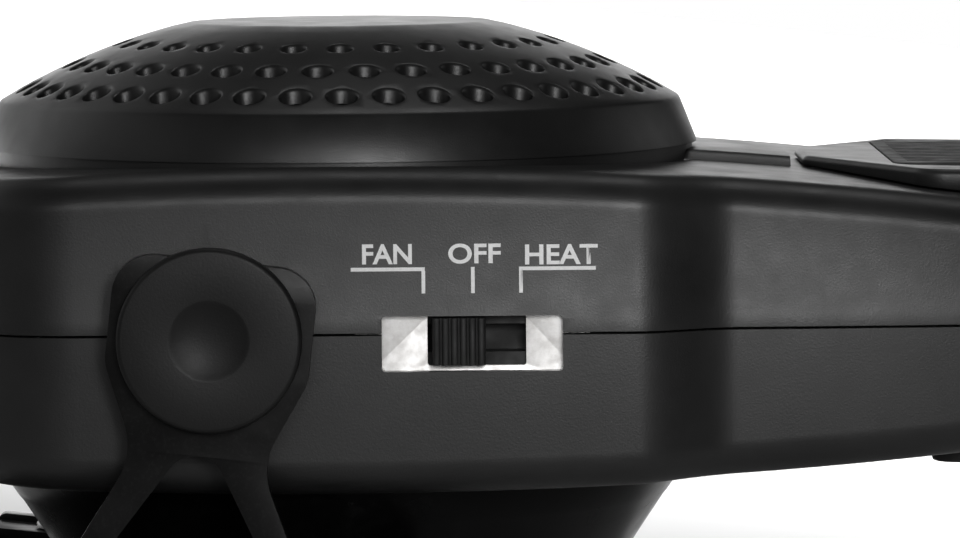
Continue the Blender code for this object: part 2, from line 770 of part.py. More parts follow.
def arm(name, side):
    """A wishbone arm: a rounded head, a waist, two splayed legs and a foot with an inward flange."""
    outline = mirrored(
        [
            (15.1 * MM, 11.6 * MM, 6 * MM),
            (15.1 * MM, -5 * MM, 6 * MM),
            (9.4 * MM, -18 * MM, 10 * MM),
            (23.3 * MM, FOOT_TOP, 2 * MM),
            (FOOT_HALF, FOOT_TOP, 1.5 * MM),
            (FOOT_HALF, FOOT_BOTTOM, 0),
        ]
    )
    arch = [
        (0, -13.2 * MM, 4.5 * MM),
        (20 * MM, FOOT_TOP + 0.4 * MM, 1 * MM),
        (-20 * MM, FOOT_TOP + 0.4 * MM, 1 * MM),
    ]
    bush_hole = circle((0, 0), BUSH_RADIUS + GAP, ROUND)
    piece = plate(name, [filleted(outline), filleted(arch, 6), bush_hole], ARM_THICKNESS)
    upright(piece, side * (ARM_INNER + ARM_THICKNESS / 2))
    flange = bmesh.new()
    ends = sorted((side * FLANGE_INNER, side * (ARM_INNER + MM)))
    add_box(flange, (-FOOT_HALF, ends[0], FOOT_BOTTOM), (FOOT_HALF, ends[1], FLANGE_TOP))
    combine(piece, finished(name + "_flange", flange), "UNION")
    holes = bmesh.new()
    for end in (-1, 1):
        place = (end * BASE_SCREW_X, side * BASE_SCREW_Y, FLANGE_TOP)
        add_rod(holes, place, SCREW_RADIUS + GAP, 10 * MM, steps=SMALLEST)
    combine(piece, finished(name + "_holes", holes), "DIFFERENCE")
    return add_part(piece, "bracket_black")


def base_plate():
    loops = [rounded_rectangle(BASE_HALF, BASE_HALF_WIDTH, 8 * MM, 5)]
    for sx in (-1, 1):
        for sy in (-1, 1):
            loops.append(circle((sx * BASE_SCREW_X, sy * BASE_SCREW_Y), SCREW_RADIUS + GAP, 12))
    piece = plate("base_plate", loops, BASE_THICKNESS)
    piece.data.transform(Matrix.Translation((0, 0, BASE_TOP - BASE_THICKNESS / 2)))
    return add_part(piece, "bracket_black")


def base_pad():
    outline = rounded_rectangle(BASE_HALF - PAD_INSET, BASE_HALF_WIDTH - PAD_INSET, 6 * MM, 5)
    piece = plate("base_pad", [outline], PAD_THICKNESS)
    height = BASE_TOP - BASE_THICKNESS - GAP - PAD_THICKNESS / 2
    piece.data.transform(Matrix.Translation((0, 0, height)))
    return add_part(piece, "rubber_black")


def screw(name, x, y, seat, end, finish, empty=None):
    """A pan-head screw. Its head stands off the seat, away from the end of its shank."""
    away = 1 if seat > end else -1
    head = seat + away * GAP
    profile = [
        (0, head + away * 1.9 * MM),
        (SCREW_HEAD - 0.8 * MM, head + away * 1.9 * MM),
        (SCREW_HEAD, head + away * 1.2 * MM),
        (SCREW_HEAD, head),
        (SCREW_RADIUS, head),
        (SCREW_RADIUS, end),
        (0, end),
    ]
    piece = turned(name, profile, SMALLEST)
    piece.data.transform(Matrix.Translation((x, y, 0)))
    return add_part(piece, finish, empty)


# Switch


def switch_plate(empty):
    middle = ((WINDOW[0] + WINDOW[1]) / 2, (WINDOW[2] + WINDOW[3]) / 2)
    outline = [(middle[0] + x, middle[1] + z) for x, z in rounded_rectangle(17.5 * MM, 7.5 * MM, MM, 2)]
    slot = [(SLOT[0], SLOT[2]), (SLOT[1], SLOT[2]), (SLOT[1], SLOT[3]), (SLOT[0], SLOT[3])]
    piece = upright(plate("switch_plate", [outline, slot], MM), -WIDE_HALF + WALL + GAP + MM / 2)
    return add_part(piece, "nickel", empty)


def switch_body(empty):
    face = -WIDE_HALF + WALL + 2 * GAP + MM
    work = bmesh.new()
    add_box(work, (6 * MM, face, -8 * MM), (36 * MM, face + 9.5 * MM, 5.4 * MM))
    body = finished("switch_body", work)
    trough = bmesh.new()
    add_box(trough, (SLOT[0], face - MM, -3 * MM), (SLOT[1], face + 4.5 * MM, 1.2 * MM))
    combine(body, finished("switch_trough", trough), "DIFFERENCE")
    return add_part(body, "rubber_black", empty)


def switch_knob(empty):
    """A cap with grooves across it, on a stem that reaches into the switch."""
    back = -WIDE_HALF + WALL
    face = back - 3.2 * MM
    low = SLOT[2] + GAP
    high = SLOT[3] - GAP
    left = KNOB_X - KNOB_LENGTH / 2
    cap = bmesh.new()
    add_box(cap, (left, face, low), (left + KNOB_LENGTH, back, high))
    knob = finished("switch_knob", cap)
    stem = bmesh.new()
    add_box(stem, (KNOB_X - 2 * MM, back - MM, -2.2 * MM), (KNOB_X + 2 * MM, back + 5 * MM, 0.4 * MM))
    combine(knob, finished("knob_stem", stem), "UNION")
    grooves = bmesh.new()
    for i in range(1, KNOB_RIBS):
        x = left + KNOB_LENGTH * i / KNOB_RIBS
        add_box(grooves, (x - GAP, face - MM, low - MM), (x + GAP, face + 0.6 * MM, high + MM))
    combine(knob, finished("knob_grooves", grooves), "DIFFERENCE")
    return add_part(knob, "rubber_black", empty)


# Handle


def handle_top(x):
    along = (x - HANDLE_TIP) / (HINGE_X - HANDLE_TIP)
    return HANDLE_TOP_TIP + (HANDLE_TOP_HINGE - HANDLE_TOP_TIP) * along


def handle(empty):
    """A flared flap whose underside follows the housing, with a hinge barrel along its rear edge."""
    corners = [
        (HANDLE_TIP, -HANDLE_TIP_HALF, 4 * MM),
        (HANDLE_FLARE, -HANDLE_HALF, 6 * MM),
        (HANDLE_REAR, -HANDLE_HALF, 3 * MM),
        (HANDLE_REAR, -HINGE_HALF, 0),
        (HINGE_X, -HINGE_HALF, 0),
    ]
    corners += [(x, -y, radius) for x, y, radius in reversed(corners)]
    flap = plate("handle", [filleted(corners)], 2 * MM)
    work = bmesh.new()
    work.from_mesh(flap.data)
    for i in range(1, HANDLE_STEPS):
        x = HANDLE_TIP + (HINGE_X - HANDLE_TIP) * i / HANDLE_STEPS
        everything = work.verts[:] + work.edges[:] + work.faces[:]
        bmesh.ops.bisect_plane(work, geom=everything, plane_co=(x, 0, 0), plane_no=(1, 0, 0))
    for vertex in work.verts:
        x = vertex.co.x
        vertex.co.z = handle_top(x) if vertex.co.z > 0 else top_height(x) + GAP
    work.to_mesh(flap.data)
    work.free()
    smoothed(flap)
    barrel = bmesh.new()
    add_rod(barrel, (HINGE_X, 0, HINGE_Z), HINGE_RADIUS, 2 * HINGE_HALF, "Y")
    combine(flap, finished("handle_barrel", barrel), "UNION")
    depth = 4 * MM
    pocket = plate("grip_pocket", [rounded_rectangle(*GRIP_HALF, GRIP_CORNER, 4)], depth)
    pocket.data.transform(Matrix.Translation((GRIP_X, 0, GRIP_FLOOR + depth / 2)))
    combine(flap, pocket, "DIFFERENCE")
    bore = bmesh.new()
    add_rod(bore, (HINGE_X, 0, HINGE_Z), PIN_RADIUS + GAP, BORE_LENGTH, "Y", SMALLEST)
    combine(flap, finished("handle_bore", bore), "DIFFERENCE")
    return add_part(flap, "housing_black", empty)


def grip_insert(empty):
    outline = rounded_rectangle(GRIP_HALF[0] - GAP, GRIP_HALF[1] - GAP, GRIP_CORNER - GAP, 4)
    piece = plate("grip_insert", [outline], MM)
    piece.data.transform(Matrix.Translation((GRIP_X, 0, GRIP_FLOOR + GAP + MM / 2)))
    return add_part(piece, "rubber_black", empty)


def hinge_pin(empty):
    work = bmesh.new()
    length = 2 * (HINGE_HALF + GAP + LUG_WIDTH)
    add_rod(work, (HINGE_X, 0, HINGE_Z), PIN_RADIUS, length, "Y", SMALLEST)
    return add_part(finished("hinge_pin", work), "steel", empty)


def cord_gland(empty):
    profile = [*GLAND_PROFILE, (GLAND_BORE, GLAND_TAIL), (GLAND_BORE, GLAND_TIP)]
    gland = turned("cord_gland", profile, SMALL)
    gland.data.transform(Matrix.Translation((0, 0, GLAND_Z)) @ Matrix.Rotation(math.pi / 2, 4, "Y"))
    return add_part(gland, "rubber_black", empty)


def foot(name, side, empty):
    edge = 0.6 * MM
    profile = [(0, FOOT_SEAT), (FOOT_RADIUS, FOOT_SEAT), (FOOT_RADIUS, FOOT_LOW + edge)]
    profile += [(FOOT_RADIUS - edge, FOOT_LOW), (0, FOOT_LOW)]
    piece = turned(name, profile, SMALL)
    piece.data.transform(Matrix.Translation((FEET_X, side * FEET_Y, 0)))
    return add_part(piece, "rubber_black", empty)


def build():
    heater = joint_empty("tilt_axis", (PIVOT_X, 0, 0))
    fan = joint_empty("fan_axis", (0, 0, 0), heater)
    slide = joint_empty("switch_travel", (KNOB_X, -WIDE_HALF, 0), heater)
    hinge = joint_empty("handle_axis", (HINGE_X, 0, HINGE_Z), heater)

    base_plate()
    base_pad()
    for label, side in (("near", -1), ("far", 1)):
        arm("arm_" + label, side)
        pivot_set(label, side, heater)
        foot("housing_foot_" + label, side, heater)
        for i, end in enumerate((-1, 1)):
            name = f"base_screw_{label}_{i + 1}"
            tip = BASE_TOP - BASE_THICKNESS
            screw(name, end * BASE_SCREW_X, side * BASE_SCREW_Y, FLANGE_TOP, tip, "steel")

    upper_shell(heater)
    lower_shell(heater)
    inlet_cap(heater)
    outlet_nozzle(heater)
    outlet_grille(heater)
    heater_frame(heater)
    ptc_heater_core(heater)
    thermal_cutout(heater)
    fan_shroud(heater)
    motor_can(heater)
    switch_plate(heater)
    switch_body(heater)
    hinge_pin(heater)
    cord_gland(heater)
    for i, (x, y) in enumerate(SCREW_PLACES):
        screw(f"housing_screw_{i + 1}", x, y, pocket_floor(x), POST_TOP, "steel", heater)

    motor_shaft(fan)
    fan_impeller(fan)
    switch_knob(slide)
    handle(hinge)
    grip_insert(hinge)


build()
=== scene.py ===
"""The looks of the portable fan heater: fine meshes over the CAD frame, materials, light and camera.

Pieces of the heater are made level, in body coordinates, whose zero is where the dome's axis
meets the parting plane. Pieces of the bracket are made in bracket coordinates, whose zero is
the tilt pivot. BODY and BRACKET place them in the frame.
"""

import json
import math

import bmesh
import bpy
from mathutils import Matrix, Vector

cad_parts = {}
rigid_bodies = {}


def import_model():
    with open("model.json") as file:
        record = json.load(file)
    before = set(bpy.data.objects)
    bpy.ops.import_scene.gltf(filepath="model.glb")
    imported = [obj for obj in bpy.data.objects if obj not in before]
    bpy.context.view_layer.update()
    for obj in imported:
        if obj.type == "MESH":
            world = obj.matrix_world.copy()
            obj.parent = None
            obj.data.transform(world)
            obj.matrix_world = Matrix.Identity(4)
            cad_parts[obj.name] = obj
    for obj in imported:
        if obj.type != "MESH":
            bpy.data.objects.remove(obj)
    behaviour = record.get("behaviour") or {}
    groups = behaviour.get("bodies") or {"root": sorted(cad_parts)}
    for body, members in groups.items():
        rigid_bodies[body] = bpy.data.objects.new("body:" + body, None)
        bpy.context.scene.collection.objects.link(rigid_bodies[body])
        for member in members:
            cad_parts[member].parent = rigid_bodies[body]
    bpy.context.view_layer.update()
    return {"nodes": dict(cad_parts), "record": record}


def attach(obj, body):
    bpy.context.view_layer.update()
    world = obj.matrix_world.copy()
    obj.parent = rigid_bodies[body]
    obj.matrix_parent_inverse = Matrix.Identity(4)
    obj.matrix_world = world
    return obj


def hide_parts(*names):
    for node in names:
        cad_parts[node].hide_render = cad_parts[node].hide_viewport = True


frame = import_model()

MM = 0.001
WELD = 0.001 * MM
SHARP = math.radians(32)


# Where things are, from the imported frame


def joint(name):
    return next(j for j in frame["record"]["behaviour"]["joints"] if j["name"] == name)


def placement(origin, up):
    """The matrix of a frame with y kept and z along up."""
    up = Vector(up).normalized()
    side = Vector((0, 1, 0))
    along = side.cross(up)
    turn = Matrix((along, side, up)).transposed().to_4x4()
    return Matrix.Translation(origin) @ turn


BODY = placement(joint("fan_spin")["pos_m"], joint("fan_spin")["axis"])
BRACKET = Matrix.Translation(joint("tilt")["pos_m"])


def local_box(node, place):
    """The lowest and highest corner of a CAD node in the coordinates of a placement."""
    back = place.inverted()
    points = [back @ v.co for v in frame["nodes"][node].data.vertices]
    low = Vector([min(p[i] for p in points) for i in range(3)])
    high = Vector([max(p[i] for p in points) for i in range(3)])
    return low, high


UPPER = local_box("upper_shell", BODY)
CAP = local_box("inlet_cap", BODY)
NOZZLE = local_box("outlet_nozzle", BODY)
GRILLE = local_box("outlet_grille", BODY)
DISC = local_box("pivot_disc_far", BODY)
PLATE = local_box("switch_plate", BODY)
KNOB = local_box("switch_knob", BODY)
FLAP = local_box("handle", BODY)
GRIP = local_box("grip_insert", BODY)
PIN = local_box("hinge_pin", BODY)
ARM = local_box("arm_far", BRACKET)
BASE = local_box("base_plate", BRACKET)
PAD = local_box("base_pad", BRACKET)
SCREW = local_box("base_screw_far_1", BRACKET)
SCREW_X = 28 * MM
SCREW_Y = (SCREW[0].y + SCREW[1].y) / 2

# Housing, in body coordinates
LEFT_END = UPPER[0].x
RIGHT_END = UPPER[1].x
WIDE_HALF = UPPER[1].y
NECK_HALF = WIDE_HALF - 6 * MM
NECK_TAPER = 1.5 * MM
WAIST = (45 * MM, 61 * MM)
LEFT_CORNER = 22 * MM
RIGHT_CORNER = 18 * MM
TOP_HEIGHT = 24.7 * MM
TOP_CURVE = 1.6
BOTTOM_HEIGHT = 24.4 * MM
BOTTOM_CURVE = 1.9
SHOULDER = 5.6 * MM
WALL = 2.2 * MM
SEAM = 0.3 * MM
LIP = 2.8 * MM
LIP_DEPTH = 0.1 * MM
LIP_SLOPE = 0.5 * MM
SEAM_CHAMFER = 0.06 * MM
PRINT_PROUD = 0.05 * MM
# Inlet cap
CAP_SPHERE = 105 * MM
CAP_FLAT = 24 * MM
CREASE = 54 * MM
CAP_WALL = 2 * MM
CAP_OPENING = 57.1 * MM
HOLE_SIDES = 22
HOLE_ROWS = (
    (34.4 * MM, 30, 3.8 * MM, 3.2 * MM, -88.4),
    (42.3 * MM, 37, 4.5 * MM, 3.6 * MM, -93.1),
    (49.5 * MM, 44, 4.7 * MM, 3.9 * MM, -88.2),
)
# Switch
WINDOW = (7.4 * MM, 34.4 * MM, -5.6 * MM, 2.7 * MM)
SLOT = (14.2 * MM, 28.9 * MM, -4.9 * MM, 2.7 * MM)
# Pivot
PIVOT_X = (DISC[0].x + DISC[1].x) / 2
STEM = 3.3 * MM
FACE = DISC[1].y
HINGE = BODY.inverted() @ Vector(joint("handle_fold")["pos_m"])
SCREW_PLACES = ((-49 * MM, 46 * MM), (103 * MM, 36 * MM))
SCREW_TIP = 11.5 * MM


def top_height(x):
    return TOP_HEIGHT - x * x / TOP_CURVE


def bottom_height(x):
    return x * x / BOTTOM_CURVE - BOTTOM_HEIGHT


# Ways of making a mesh


def arc(centre, radius, start, end, steps):
    """Points on an arc, both ends included. The angles are in degrees."""
    turns = [math.radians(start + (end - start) * i / steps) for i in range(steps + 1)]
    return [(centre[0] + radius * math.cos(t), centre[1] + radius * math.sin(t)) for t in turns]


def filleted(corners, steps=8):
    """A closed outline from corners of (x, y, radius), each rounded by its radius."""
    points = []
    for i, (x, y, radius) in enumerate(corners):
        corner = Vector((x, y))
        if radius == 0:
            points.append((x, y))
            continue
        back = (Vector(corners[i - 1][:2]) - corner).normalized()
        ahead = (Vector(corners[(i + 1) % len(corners)][:2]) - corner).normalized()
        half = back.angle(ahead) / 2
        start = corner + back * (radius / math.tan(half))
        centre = corner + (back + ahead).normalized() * (radius / math.sin(half))
        sweep = (math.pi - 2 * half) * (1 if back.cross(ahead) < 0 else -1)
        spoke = start - centre
        for step in range(steps + 1):
            points.append(tuple(centre + Matrix.Rotation(sweep * step / steps, 2) @ spoke))
    return points


def mirrored(corners):
    """Corners from the top down on one side of x = 0, then their mirror images."""
    return corners + [(-x, y, radius) for x, y, radius in reversed(corners)]


def rectangle(half_x, half_y, radius, centre=(0, 0)):
    signs = ((1, 1), (-1, 1), (-1, -1), (1, -1))
    return filleted([(centre[0] + sx * half_x, centre[1] + sy * half_y, radius) for sx, sy in signs])


def circle(centre, radius, steps=64):
    return arc(centre, radius, 0, 360, steps)[:-1]


def smoothed(obj, angle=SHARP):
    obj.data.shade_smooth()
    obj.data.set_sharp_from_angle(angle=angle)
    return obj


def finished(name, work):
    """The object of a bmesh, with its faces turned outwards."""
    bmesh.ops.recalc_face_normals(work, faces=work.faces)
    mesh = bpy.data.meshes.new(name)
    work.to_mesh(mesh)
    work.free()
    return bpy.data.objects.new(name, mesh)


def baked(source, scale=1):
    """A mesh object from a curve or from an object with modifiers, with welded seams."""
    name = source.name
    bpy.context.scene.collection.objects.link(source)
    graph = bpy.context.evaluated_depsgraph_get()
    mesh = bpy.data.meshes.new_from_object(source.evaluated_get(graph))
    work = bmesh.new()
    work.from_mesh(mesh)
    bmesh.ops.remove_doubles(work, verts=work.verts, dist=WELD / scale)
    bmesh.ops.recalc_face_normals(work, faces=work.faces)
    work.transform(Matrix.Scale(scale, 4))
    work.to_mesh(mesh)
    work.free()
    bpy.data.objects.remove(source)
    return smoothed(bpy.data.objects.new(name, mesh))


def turned(name, profile, steps=128):
    """A solid turned about z. A profile that leaves the axis open makes a ring."""
    edges = [(i, i + 1) for i in range(len(profile) - 1)]
    if profile[0][0] > 0:
        edges.append((len(profile) - 1, 0))
    mesh = bpy.data.meshes.new(name)
    mesh.from_pydata([(radius, 0, height) for radius, height in profile], edges, [])
    obj = bpy.data.objects.new(name, mesh)
    screw = obj.modifiers.new("turn", "SCREW")
    screw.steps = steps
    screw.render_steps = steps
    screw.use_merge_vertices = True
    screw.merge_threshold = WELD
    return baked(obj)


def plate(name, loops, thickness):
    """A flat plate about z = 0. The first loop is its outline and the others are holes."""
    curve = bpy.data.curves.new(name, "CURVE")
    curve.dimensions = "2D"
    curve.fill_mode = "BOTH"
    curve.extrude = thickness / 2 / MM
    for loop in loops:
        spline = curve.splines.new("POLY")
        spline.points.add(len(loop) - 1)
        for point, (x, y) in zip(spline.points, loop):
            point.co = (x / MM, y / MM, 0, 1)
        spline.use_cyclic_u = True
    return baked(bpy.data.objects.new(name, curve), MM)


def moved(obj, *matrices):
    for matrix in matrices:
        obj.data.transform(matrix)
    return obj


def shift(x=0, y=0, z=0):
    return Matrix.Translation((x, y, z))


UPRIGHT = Matrix.Rotation(math.pi / 2, 4, "X")


def add_box(work, low, high):
    middle = (Vector(low) + Vector(high)) / 2
    size = Vector(high) - Vector(low)
    bmesh.ops.create_cube(work, size=1, matrix=Matrix.Translation(middle) @ Matrix.Diagonal((*size, 1)))


def add_rod(work, centre, radius, length, axis="Z", steps=48):
    """Adds a closed rod along one axis."""
    turns = {"X": Matrix.Rotation(math.pi / 2, 4, "Y"), "Y": Matrix.Rotation(math.pi / 2, 4, "X")}
    place = Matrix.Translation(centre) @ turns.get(axis, Matrix.Identity(4))
    bmesh.ops.create_cone(
        work, cap_ends=True, segments=steps, radius1=radius, radius2=radius, depth=length, matrix=place
    )


def joined(name, objects):
    """One bmesh from several objects, which are removed."""
    work = bmesh.new()
    for obj in objects:
        work.from_mesh(obj.data)
        bpy.data.objects.remove(obj)
    return finished(name, work)


def combined(obj, tool, operation):
    """Bakes a Boolean of obj with a helper, which is removed."""
    scene = bpy.context.scene.collection.objects
    scene.link(tool)
    boolean = obj.modifiers.new("boolean", "BOOLEAN")
    boolean.operation = operation
    boolean.solver = "EXACT"
    boolean.object = tool
    result = baked(obj)
    bpy.data.objects.remove(tool)
    return result


def bevelled(obj, width, segments=3, angle=40):
    """Bakes rounded edges, wherever the faces meet at more than angle degrees."""
    bevel = obj.modifiers.new("rounded edges", "BEVEL")
    bevel.width = width
    bevel.segments = segments
    bevel.limit_method = "ANGLE"
    bevel.angle_limit = math.radians(angle)
    bevel.use_clamp_overlap = True
    bevel.miter_outer = "MITER_ARC"
    return smoothed(baked(obj), math.radians(50))


# Housing


def half_outline():
    """The near side of the housing in plan, from the left end to the right end."""
    left = arc((LEFT_END + LEFT_CORNER, LEFT_CORNER - WIDE_HALF), LEFT_CORNER, 180, 270, 24)
    tail_half = NECK_HALF - NECK_TAPER
    right = arc((RIGHT_END - RIGHT_CORNER, RIGHT_CORNER - tail_half), RIGHT_CORNER, 270, 360, 20)
    side = [(left[-1][0] + (WAIST[0] - left[-1][0]) * i / 30, -WIDE_HALF) for i in range(1, 30)]
    waist = []
    for i in range(21):
        blend = (1 - math.cos(math.pi * i / 20)) / 2
        x = WAIST[0] + (WAIST[1] - WAIST[0]) * i / 20
        waist.append((x, -WIDE_HALF + (WIDE_HALF - NECK_HALF) * blend))
    neck = []
    for i in range(1, 20):
        x = WAIST[1] + (right[0][0] - WAIST[1]) * i / 20
        neck.append((x, -NECK_HALF + NECK_TAPER * (i / 20) ** 2))
    return left + side + waist + neck + right


def inset_loop(points, inset):
    """A closed outline, run anticlockwise, moved inwards."""
    shifted = []
    for i, (x, y) in enumerate(points):
        before = Vector(points[i - 1])
        after = Vector(points[(i + 1) % len(points)])
        along = (after - before).normalized()
        shifted.append((x - along.y * inset, y + along.x * inset))
    return shifted


def inset_outline(half, inset):
    """The whole outline moved inwards: the half, then its mirror image backwards."""
    return inset_loop(half + [(x, -y) for x, y in reversed(half)], inset)


def wall_levels(skin, steps):
    """(inset, drop below the face) up the shoulder. Skin is how far the wall is inside the outline."""
    turns = [math.pi / 2 * i / steps for i in range(steps + 1)]
    reach = SHOULDER - skin
    return [(skin + reach * (1 - math.cos(t)), skin + reach * (1 - math.sin(t))) for t in turns]


def housing_half(name, side):
    """Half of the housing: rings up the outside and down the inside, closed by strips across."""
    face_height = top_height if side > 0 else bottom_height
    half = half_outline()
    work = bmesh.new()

    def ring(inset, drop=None, level=None):
        points = inset_outline(half, inset)
        heights = [side * level if drop is None else face_height(x) - side * drop for x, _ in points]
        return [work.verts.new((x, y, z)) for (x, y), z in zip(points, heights)]

    def bridge(low, high):
        for i in range(len(low)):
            work.faces.new((low[i - 1], low[i], high[i], high[i - 1]))

    def close(last):
        for i in range(len(half) - 1):
            work.faces.new((last[i], last[i + 1], last[-2 - i], last[-1 - i]))

    rim = SEAM / 2
    outer = [ring(SEAM_CHAMFER, level=rim), ring(0, level=rim + SEAM_CHAMFER)]
    if side > 0:
        outer += [ring(0, level=LIP - LIP_SLOPE), ring(LIP_DEPTH, level=LIP)]
    face_inset = LIP_DEPTH if side > 0 else 0
    shoulder = wall_levels(0, 14)
    outer += [ring(max(inset, face_inset), drop) for inset, drop in shoulder]
    inner = [ring(WALL, level=rim)] + [ring(inset, drop) for inset, drop in wall_levels(WALL, 6)]
    for rings in (outer, inner):
        for low, high in zip(rings, rings[1:]):
            bridge(low, high)
        close(rings[-1])
    bridge(outer[0], inner[0])
    return finished(name, work)


def wall_cutter():
    """The switch window and the pivot holes, which the parting plane runs through."""
    corners = [(x, z, 0.6 * MM) for x in WINDOW[:2] for z in WINDOW[2:]]
    outline = filleted([corners[0], corners[2], corners[3], corners[1]], 4)
    parts = [moved(plate("window", [outline], 8 * MM), UPRIGHT, shift(y=-WIDE_HALF))]
    for side in (-1, 1):
        hole = plate("pivot_hole", [circle((0, 0), STEM)], 10 * MM)
        parts.append(moved(hole, UPRIGHT, shift(PIVOT_X, side * WIDE_HALF)))
    return parts


def drum(name, x, y, radius, low, high, steps=96):
    profile = [(0, low), (radius, low), (radius, high), (0, high)]
    return moved(turned(name, profile, steps), shift(x, y))


def spine_strip():
    """The raised strip between the cap and the handle, with sloping sides."""
    left, right = CREASE, FLAP[0].x - 2 * MM
    side = ((14, -2), (13.9, 0), (13.2, 0.7), (12.6, 1.15), (11.9, 1.42), (11.2, 1.5))
    work = bmesh.new()
    rows = []
    steps = 24
    for i in range(steps + 1):
        x = left + (right - left) * i / steps
        section = [(-y * MM, top_height(x) + z * MM) for y, z in side]
        section += [(-y, z) for y, z in reversed(section)]
        rows.append([work.verts.new((x, y, z)) for y, z in section])
    for low, high in zip(rows, rows[1:]):
        for i in range(len(low)):
            work.faces.new((low[i - 1], low[i], high[i], high[i - 1]))
    for row in (rows[0], rows[-1]):
        work.faces.new(row)
    return finished("spine", work)


def hinge_lug(side):
    radius = 2.7 * MM
    centre = (HINGE.x, HINGE.z)
    foot = [(HINGE.x - 1.6 * radius, HINGE.z - 4.8 * MM), (HINGE.x + radius, HINGE.z - 4.8 * MM)]
    loops = [foot + arc(centre, radius, 0, 150, 20), circle(centre, 1.6 * MM, 32)]
    lug = moved(plate("lug", loops, 6 * MM), UPRIGHT, shift(y=side * 33.3 * MM))
    return bevelled(lug, 0.4 * MM)


def upper_shell():
    shell = housing_half("housing_upper", 1)
    cutters = wall_cutter() + [drum("cap_opening", 0, 0, CAP_OPENING, 10 * MM, 40 * MM, 192)]
    shell = combined(shell, joined("upper_cutters", cutters), "DIFFERENCE")
    posts = [spine_strip(), hinge_lug(-1), hinge_lug(1)]
    for x, y in SCREW_PLACES:
        for side in (-1, 1):
            top = top_height(x) - WALL + 0.2 * MM
            profile = [(4.6 * MM, top), (4.6 * MM, SEAM / 2), (1.6 * MM, SEAM / 2), (1.6 * MM, top)]
            posts.append(moved(turned("post", profile, 48), shift(x, side * y)))
    return smoothed(joined("housing_upper", [shell, *posts]))


def screw_pocket(x, y):
    """A post with a counterbore for the screw's head."""
    floor = bottom_height(x) + 3.2 * MM
    skin = bottom_height(x) + WALL - 0.2 * MM
    wide, head, bore = 4.6 * MM, 3.2 * MM, 1.6 * MM
    profile = [(wide, -SEAM / 2), (wide, skin), (head, skin), (head, floor), (bore, floor), (bore, -SEAM / 2)]
    return moved(turned("pocket", profile, 64), shift(x, y))


def lower_shell():
    shell = housing_half("housing_lower", -1)
    cutters = wall_cutter() + [drum("duct_opening", 0, 0, NOZZLE[1].x + SEAM, -40 * MM, -16 * MM, 192)]
    for x, y in SCREW_PLACES:
        for side in (-1, 1):
            cutters.append(drum("screw_hole", x, side * y, 3.2 * MM, -40 * MM, -16 * MM, 64))
    for side in (-1, 1):
        cutters.append(drum("foot_pocket", 95 * MM, side * 40 * MM, 4.3 * MM, -40 * MM, -18.9 * MM, 64))
    hole = drum("cord_hole", 0, 0, 3.8 * MM, -5 * MM, 5 * MM, 64)
    along_x = Matrix.Rotation(math.pi / 2, 4, "Y")
    cutters.append(moved(hole, along_x, shift(RIGHT_END, 0, -6 * MM)))
    shell = combined(shell, joined("lower_cutters", cutters), "DIFFERENCE")
    pockets = [screw_pocket(x, side * y) for x, y in SCREW_PLACES for side in (-1, 1)]
    return smoothed(joined("housing_lower", [shell, *pockets]))


def dome_height(radius, sphere=CAP_SPHERE):
    centre = CAP[1].z - math.sqrt(CAP_SPHERE**2 - CAP_FLAT**2)
    return centre + math.sqrt(sphere**2 - radius**2)


def cap_cutter():
    """All the holes of the cap, each flared where it meets the dome so that its rim is rounded."""
    work = bmesh.new()
    flare = ((1.0, -0.5), (1.035, -0.22), (1.1, -0.05), (1.2, 0.03))
    for radius, count, across, along, first in HOLE_ROWS:
        for hole in range(count):
            turn = Matrix.Rotation(math.radians(first + 360 * hole / count), 4, "Z")
            rings = []
            for level in range(len(flare) + 2):
                ring = []
                for i in range(HOLE_SIDES):
                    t = 2 * math.pi * i / HOLE_SIDES
                    grow = flare[min(max(level - 1, 0), len(flare) - 1)][0]
                    x = radius + math.cos(t) * along / 2 * grow
                    y = math.sin(t) * across / 2 * grow
                    if level == 0:
                        z = 24 * MM
                    elif level > len(flare):
                        z = 52 * MM
                    else:
                        z = dome_height(math.hypot(x, y)) + flare[level - 1][1] * MM
                    ring.append(work.verts.new(turn @ Vector((x, y, z))))
                rings.append(ring)
            for low, high in zip(rings, rings[1:]):
                for i in range(HOLE_SIDES):
                    work.faces.new((low[i - 1], low[i], high[i], high[i - 1]))
            work.faces.new(rings[0])
            work.faces.new(rings[-1])
    return finished("cap_holes", work)


def inlet_cap():
    foot, gap = CAP[0].z, 25.2 * MM
    radius = 56.8 * MM
    profile = [(0, CAP[1].z), (CAP_FLAT - 0.8 * MM, CAP[1].z), (CAP_FLAT, CAP[1].z - 0.06 * MM)]
    for i in range(1, 25):
        r = CAP_FLAT + (CREASE - 0.35 * MM - CAP_FLAT) * i / 24
        profile.append((r, dome_height(r) - (0.06 * MM if i == 1 else 0)))
    low = dome_height(CREASE)
    profile += [(CREASE - 0.08 * MM, low - 0.06 * MM), (CREASE + 0.14 * MM, low - 0.4 * MM)]
    profile += [(radius - 0.08 * MM, gap + 0.2 * MM), (radius - 0.1 * MM, gap), (radius - 0.8 * MM, gap)]
    profile += [(radius - 0.8 * MM, foot), (radius - 0.8 * MM - CAP_WALL, foot)]
    profile += [(radius - 0.8 * MM - CAP_WALL, gap)]
    for i in range(13):
        r = CREASE - 1.8 * MM - (CREASE - CAP_FLAT) * i / 12
        profile.append((r, dome_height(r, CAP_SPHERE - CAP_WALL)))
    profile.append((0, profile[-1][1]))
    cap = combined(turned("cap", profile, 192), cap_cutter(), "DIFFERENCE")
    cap.name = "cap_with_holes"
    return cap


# Outlet


